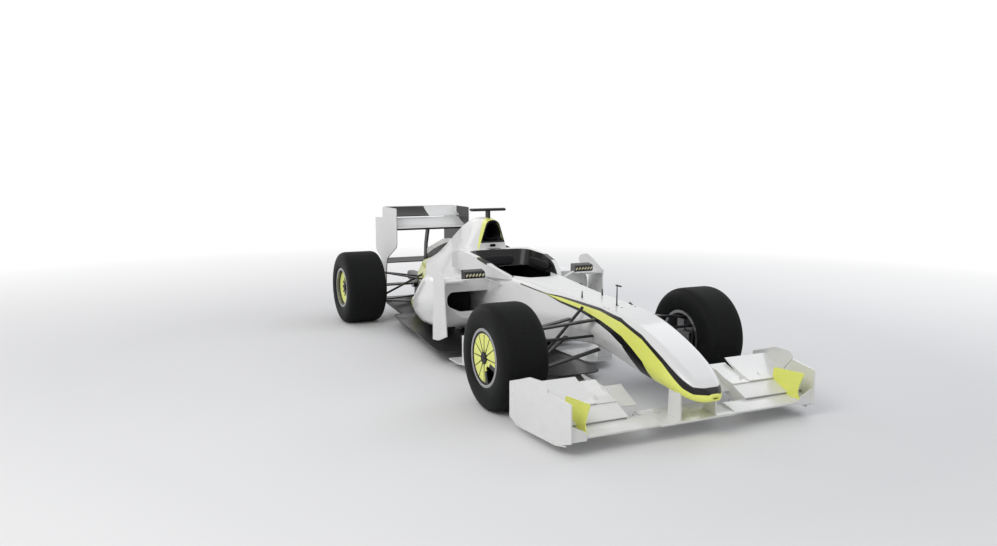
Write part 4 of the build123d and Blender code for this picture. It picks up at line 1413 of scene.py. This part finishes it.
@dataclass
class NoseTrim(Trim):
    """The small things on the nose and the tub's front: the air speed probe, aerials and fasteners."""

    probe_station: float = 0.115
    probe_foot: float = 0.597
    probe_top: float = 0.737
    aerial_places: Section = ((-0.165, -0.085), (-0.185, 0.085))
    aerial_steps: Section = ((0.0, 0.020), (0.5, 0.013), (1.0, 0.006))
    aerial_foot: float = 0.611
    aerial_reach: float = 0.055
    aerial_half_thick: float = 0.0015
    fastener_rows: Rows = ((0.172, 0.10, 0.6025), (0.172, 0.0, 0.6035), (0.172, -0.10, 0.6025),
                           (0.128, 0.10, 0.6045), (0.128, 0.0, 0.6050), (0.128, -0.10, 0.6045),
                           (-0.18, 0.07, 0.6160), (-0.18, -0.07, 0.6160), (-0.24, 0.0, 0.6200))

    def build(self) -> None:
        """Add the probe, the aerials and the quarter-turn fasteners."""
        x = at(self.probe_station)
        level = self.probe_top - 0.003
        probe = bmesh.new()
        tube(probe, [(x, 0, self.probe_foot), (x, 0, self.probe_foot + 0.02), (x, 0, self.probe_top)],
             [0.0075, 0.0045, 0.0032])
        tube(probe, [(x - 0.012, 0, level), (x + 0.035, 0, level), (x + 0.052, 0, level)],
             [0.0055, 0.0055, 0.002])
        self.piece("air_speed_probe", probe, "black_trim")
        aerials = bmesh.new()
        for station, y in self.aerial_places:
            loft_rings(aerials, [level_ring(at(station), y, self.aerial_foot + self.aerial_reach * share,
                                            chord / 2, self.aerial_half_thick)
                                 for share, chord in self.aerial_steps])
        self.piece("nose_aerials", aerials, "black_trim")
        self.repeat("nose_fasteners", screw_shape(), [(at(s), y, z) for s, y, z in self.fastener_rows],
                    [(0.03, 0.0, 1.0)], "fastener_steel", (0.0055, 0.0055, 0.010), 1.5)


@dataclass
class CockpitTrim(Trim):
    """The driver's place: foam pads, the wheel's face and grips, and the mirrors' glass."""

    pad_y: float = 0.2285
    pad_steps: int = 28
    pad_sides: int = 20
    wheel_station: float = -0.985
    wheel_height: float = 0.56
    grip_bend: Section = ((0.108, 0.062), (0.122, 0.040), (0.126, 0.010), (0.122, -0.025), (0.108, -0.052))
    grip_radii: tuple[float, ...] = (0.013, 0.0165, 0.0165, 0.0165, 0.013)
    mirror_span: Flat = (0.395, 0.535)
    mirror_rise: Flat = (0.663, 0.713)
    glass_station: float = -1.0905
    dash_station: float = -1.0300
    dash_height: float = 0.685
    dash_start: float = 0.400
    dash_step: float = 0.026
    dash_count: int = 6

    def build(self) -> None:
        """Add each piece."""
        for side in Side:
            y = side.value * self.pad_y
            self.pad(f"head_pad_{side.word}", (at(-1.50), y, 0.716), (at(-1.16), y, 0.698), 0.012, 0.032)
            self.mirror(side)
        self.pad("head_pad_rear", (at(-1.560), -0.12, 0.716), (at(-1.560), 0.12, 0.716), 0.014, 0.040)
        self.wheel_face()

    def pad(self, name: str, first: Point, last: Point, half_thick: float, half_tall: float) -> None:
        """One crowned foam pad between two points.

        Args:
            name: The pad's name.
            first: One end of its middle line.
            last: The other end.
            half_thick: Half its thickness.
            half_tall: Half its height.
        """
        start, stop = Vector(first), Vector(last)
        out = Vector((0, 0, 1)).cross((stop - start).normalized()).normalized()
        rings = []
        for i in range(self.pad_steps + 1):
            share = i / self.pad_steps
            end = max(0.04, 1.0 - abs(2 * share - 1.0) ** 7) ** 0.5
            seam = 1.0 - 0.16 * max(0.0, math.cos(share * math.tau * 3)) ** 12
            middle = start.lerp(stop, share)
            ring = []
            for turn in turns(self.pad_sides):
                thick = half_thick * end * seam * math.copysign(abs(math.cos(turn)) ** 0.7, math.cos(turn))
                tall = half_tall * end * math.copysign(abs(math.sin(turn)) ** 0.6, math.sin(turn))
                ring.append(tuple(middle + out * thick + Vector((0, 0, tall))))
            rings.append(ring)
        mesh = bmesh.new()
        loft_rings(mesh, rings)
        piece = self.piece(name, mesh, "pad_cover", angle=60.0)

    def wheel_face(self) -> None:
        """The steering wheel's grips, display and knobs."""
        x = at(self.wheel_station) - 0.024
        body = "steering_wheel_body"
        for side in Side:
            grip = bmesh.new()
            tube(grip, [(x + 0.012, side.value * y, self.wheel_height + z) for y, z in self.grip_bend],
                 self.grip_radii, 18)
            self.piece(f"wheel_grip_{side.word}", grip, "grip_suede", body, 70.0)
        screen = bmesh.new()
        corners = [(-0.042, 0.575), (0.042, 0.575), (0.042, 0.612), (-0.042, 0.612)]
        slab(screen, [(x + 0.001, y, z) for y, z in corners], (-0.006, 0, 0))
        self.piece("wheel_display", screen, "camera_lens", body)
        knobs = [(x, y, z) for z in (0.53, 0.555) for y in (-0.045, -0.015, 0.015, 0.045)]
        self.repeat("wheel_knobs", screw_shape(), knobs, [(-1.0, 0.0, 0.0)], "pale_dash_paint",
                    (0.0065, 0.0065, 0.045), 2.0, body)

    def mirror(self, side: Side) -> None:
        """One mirror's glass and the pale dashes along its housing.

        Args:
            side: The mirror's side of the car.
        """
        near, far = (side.value * width for width in self.mirror_span)
        low, high = self.mirror_rise
        glass = bmesh.new()
        outline = rounded([(near, low), (far, low), (far, high), (near, high)])
        slab(glass, [(at(self.glass_station), y, z) for y, z in outline], (-0.003, 0, 0))
        self.piece(f"mirror_glass_{side.word}", glass, "mirror_face")
        widths = [self.dash_start + self.dash_step * k for k in range(self.dash_count)]
        points = [(at(self.dash_station), side.value * width, self.dash_height) for width in widths]
        slant = ((-0.15, -0.32), (0.85, -0.32), (0.15, 0.32), (-0.85, 0.32))
        dash = loose_shape("pale_dash", [[(x, y, height) for x, y in slant] for height in (0.0, 1.0)])
        self.repeat(f"mirror_dashes_{side.word}", dash, points, [(1.0, 0.0, 0.12)], "pale_dash_paint",
                    (0.016, 0.027, 0.0012))


@dataclass
class AirPaths(Trim):
    """The duct behind the engine's air intake and the fins of the radiators, both near-black as painted
    shade.
    """

    fin_count: int = 46
    fin_station: float = -1.4795
    fin_run: float = 0.15675
    fin_inner_y: float = 0.315
    fin_span: float = 0.330
    fin_foot: float = 0.30
    duct_rows: tuple[tuple[float, ...], ...] = ((-1.7085, 0.872, 1.010, 0.086, 0.046),
                                                (-1.78, 0.872, 1.005, 0.082, 0.046),
                                                (-1.90, 0.870, 0.985, 0.070, 0.040))
    duct_middle: float = 0.94
    duct_bore: float = 0.93

    def build(self) -> None:
        """Add the engine's intake duct, and the radiators' fins."""
        outer = []
        for station, low, high, wide_low, wide_high in self.duct_rows:
            outline = rounded([(-wide_low, low), (wide_low, low), (wide_high, high), (-wide_high, high)])
            outer.append([(at(station), y, z) for y, z in outline])
        inner = [[(x, y * self.duct_bore, self.duct_middle + (z - self.duct_middle) * self.duct_bore)
                  for x, y, z in ring] for ring in outer]
        inner[-1] = [(x + 0.004, y, z) for x, y, z in inner[-1]]
        duct = bmesh.new()
        loft_rings(duct, list(reversed(inner)) + outer)
        # The duct is near-black as painted shade behind the intake mouth.
        self.piece("intake_duct", duct, "dark_duct")
        shares = [(i + 0.5) / self.fin_count for i in range(self.fin_count)]
        for side in Side:
            points = [(at(self.fin_station - self.fin_run * share),
                       side.value * (self.fin_inner_y + self.fin_span * share), self.fin_foot)
                      for share in shares]
            # The fins are near-black as painted shade inside the inlets.
            self.repeat(f"radiator_fins_{side.word}", box_shape(), points, [(1.0, side.value * 0.46, 0.0)],
                        "core_alloy", (0.22, 0.0012, 0.003))


@dataclass
class WingTrim(Trim):
    """The strips, brackets and screws of the two wings."""

    half_span: float = 0.364
    strip_station: float = -3.3925
    strip_foot: float = 1.052
    strip_thick: float = 0.0018
    strip_height: float = 0.012
    edge_section: Section = ((-3.0225, 0.8640), (-3.0205, 0.8720), (-3.0300, 0.8555), (-3.0600, 0.8570),
                             (-3.0600, 0.8600))
    bracket_rows: Rows = ((0.690, 0.52, 0.212), (0.690, 0.66, 0.212), (0.690, 0.78, 0.212),
                          (0.780, 0.60, 0.150), (0.780, 0.74, 0.150))
    screw_rows: Rows = ((0.86, 0.30, 0.1115), (0.80, 0.34, 0.1255), (0.84, 0.395, 0.1170),
                        (0.90, 0.395, 0.1050), (0.86, 0.50, 0.1115), (0.80, 0.62, 0.1350),
                        (0.88, 0.70, 0.1140))

    def build(self) -> None:
        """Add the front and rear wings' trim."""
        strip = bmesh.new()
        x, half = at(self.strip_station), self.half_span
        foot = [(x, -half), (x + self.strip_thick, -half), (x + self.strip_thick, half), (x, half)]
        slab(strip, [(along, across, self.strip_foot) for along, across in foot], (0, 0, self.strip_height))
        self.piece("rear_flap_strip", strip, "white_paint")
        for side in Side:
            self.front_screws(side)
            self.slot_brackets(side)
        edge = bmesh.new()
        loft_rings(edge, [[(at(station), y, z) for station, z in self.edge_section] for y in (-half, half)])
        self.piece("rear_plane_dark_edge", edge, "black_trim")

    def slot_brackets(self, side: Side) -> None:
        """Small plates that hold the front flaps apart.

        Args:
            side: The flaps' side of the car.
        """
        points = [(at(s), side.value * y, z) for s, y, z in self.bracket_rows]
        self.repeat(f"flap_brackets_{side.word}", box_shape(), points, [(0.45, 0.0, 0.9)], "white_paint",
                    (0.030, 0.003, 0.016))

    def front_screws(self, side: Side) -> None:
        """Screws beside the fence and in the main plane.

        Args:
            side: The screws' side of the car.
        """
        points = [(at(s), side.value * y, z) for s, y, z in self.screw_rows]
        self.repeat(f"front_wing_screws_{side.word}", screw_shape(), points, [(0.25, 0.0, 1.0)],
                    "fastener_steel", (0.0045, 0.0045, 0.009), 1.2)


@dataclass
class TailTrim(Trim):
    """The rain lamp."""

    face_station: float = -3.6285
    lens_thick: float = 0.0012
    half_width: float = 0.030
    foot: float = 0.318
    top: float = 0.374
    cell_rows: int = 5

    def build(self) -> None:
        """Add the lamp's lens with its rows of cells."""
        lens = bmesh.new()
        half, low, high = self.half_width, self.foot, self.top
        outline = rounded([(-half, low), (half, low), (half, high), (-half, high)])
        slab(lens, [(at(self.face_station), y, z) for y, z in outline], (-self.lens_thick, 0, 0))
        self.piece("rain_lamp_lens", lens, "lamp_lens")
        x, rows = at(self.face_station - self.lens_thick), range(self.cell_rows)
        cells = [(x, -0.020 + 0.010 * i, 0.327 + 0.0095 * j) for i in rows for j in rows]
        self.repeat("rain_lamp_cells", screw_shape(), cells, [(-1.0, 0.0, 0.0)], "lamp_lens",
                    (0.0038, 0.0038, 0.0018))


@dataclass
class Studio:
    """The floor, the lights and the camera at the photograph's place."""

    camera_place: Point = (5.8557, -3.0269, 1.5293)
    azimuth: float = 63.88
    fall: float = 7.644
    roll: float = 0.14
    focal: float = 30.79
    floor_half: float = 60.0
    floor_near: float = 3.2
    floor_far: float = 8.5
    floor_grey: float = 0.80
    sky_colour: Colour = (0.93, 0.95, 1.0)
    sky_strength: float = 0.55

    def build(self) -> None:
        """Set the whole studio."""
        self.floor()
        self.sky()
        self.lamps()
        self.camera()
        bpy.context.scene.view_settings.view_transform = "Standard"

    def seen_rays(self, tree: Tree) -> Socket:
        """Tell the rays that show the white background: the camera's, and those in gloss and glass.

        Args:
            tree: The tree of the floor's material or of the sky.

        Returns:
            1 for those rays, and 0 for all others.
        """
        rays = tree.add("ShaderNodeLightPath").outputs
        through = tree.plus(rays["Is Glossy Ray"], rays["Is Transmission Ray"])
        return tree.math("ADD", rays["Is Camera Ray"], through, clamp=True)

    def floor(self) -> None:
        """A plain pale floor that keeps the car's shadow, white where the camera looks past it."""
        mesh = bmesh.new()
        corners = level_ring(0.0, 0.0, -0.0005, self.floor_half, self.floor_half)
        mesh.faces.new([mesh.verts.new(p) for p in corners])
        floor = link_object("studio_floor", mesh_data("studio_floor", mesh))
        material = bpy.data.materials.new("studio_floor")
        material.use_nodes = True
        material.node_tree.nodes.clear()
        tree = Tree(material.node_tree)
        grey = self.floor_grey
        pale = tree.add("ShaderNodeBsdfPrincipled", {"Base Color": (grey, grey, grey, 1.0), "Roughness": 0.9})
        white = tree.add("ShaderNodeEmission")
        place = tree.add("ShaderNodeTexCoord").outputs["Object"]
        reach = tree.add("ShaderNodeVectorMath", {0: place}, operation="LENGTH").outputs["Value"]
        far = tree.ramp(reach, self.floor_near, self.floor_far)
        blend = tree.add("ShaderNodeMixShader", {
            0: tree.times(far, self.seen_rays(tree)), 1: pale.outputs[0], 2: white.outputs[0]})
        tree.add("ShaderNodeOutputMaterial", {"Surface": blend.outputs[0]})
        floor.data.materials.append(material)

    def sky(self) -> None:
        """A soft sky that the camera sees as plain white."""
        world = bpy.data.worlds.new("studio_sky")
        bpy.context.scene.world = world
        world.use_nodes = True
        world.node_tree.nodes.clear()
        tree = Tree(world.node_tree)
        soft = tree.add("ShaderNodeBackground", {
            "Color": (*self.sky_colour, 1.0), "Strength": self.sky_strength})
        white = tree.add("ShaderNodeBackground", {"Color": (1.0, 1.0, 1.0, 1.0), "Strength": 1.0})
        blend = tree.add("ShaderNodeMixShader", {
            0: self.seen_rays(tree), 1: soft.outputs[0], 2: white.outputs[0]})
        tree.add("ShaderNodeOutputWorld", {"Surface": blend.outputs[0]})

    def lamps(self) -> None:
        """Three broad lamps, all aimed at the car's middle."""
        for name, place, power, size, colour in (
                ("key_lamp", (3.5, -5.5, 5.5), 215.0, 4.0, (1.0, 0.98, 0.95)),
                ("side_lamp", (-1.0, 6.0, 5.0), 120.0, 5.0, (0.95, 0.97, 1.0)),
                ("rear_lamp", (-7.0, -2.0, 4.5), 90.0, 4.0, (1.0, 0.96, 0.92))):
            light = bpy.data.lights.new(name, "AREA")
            light.energy = power
            light.size = size
            light.color = colour
            lamp = link_object(name, light)
            lamp.location = place
            aim = Vector((0.0, 0.0, 0.4)) - Vector(place)
            lamp.rotation_euler = aim.to_track_quat("-Z", "Y").to_euler()

    def camera(self) -> None:
        """The camera, at the place and angle measured in the photograph."""
        bearing, fall = math.radians(self.azimuth), math.radians(self.fall)
        level = math.cos(fall)
        back = Vector((math.sin(bearing) * level, -math.cos(bearing) * level, math.sin(fall)))
        right = Vector((math.cos(bearing), math.sin(bearing), 0.0))
        turn = Matrix((right, back.cross(right), back)).transposed()
        turn = turn @ Matrix.Rotation(math.radians(self.roll), 3, "Z")
        data = bpy.data.cameras.new("photo_camera")
        data.lens = self.focal
        data.sensor_width = 36.0
        data.clip_end = 200.0
        camera = link_object("photo_camera", data)
        camera.matrix_world = Matrix.Translation(self.camera_place) @ turn.to_4x4()
        bpy.context.scene.camera = camera


def main() -> None:
    """Build the finishes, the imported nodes' looks, every trim piece and the studio."""
    logging.basicConfig(level=logging.INFO, format="%(message)s")
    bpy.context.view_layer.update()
    palette = Palette(SharedEffects())
    PackedNodes(palette).dress()
    for side in Side:
        for front in (True, False):
            LOG.info("built %s", Slick(palette, side, front).build().name)
        FrontWheelTrim(palette, side).build()
        RearWheelTrim(palette, side).build()
    for assembly in (NoseTrim(palette), CockpitTrim(palette), AirPaths(palette), WingTrim(palette),
                     TailTrim(palette)):
        assembly.build()
        LOG.info("built %s", type(assembly).__name__)
    Studio().build()


if __name__ == "__main__":
    main()
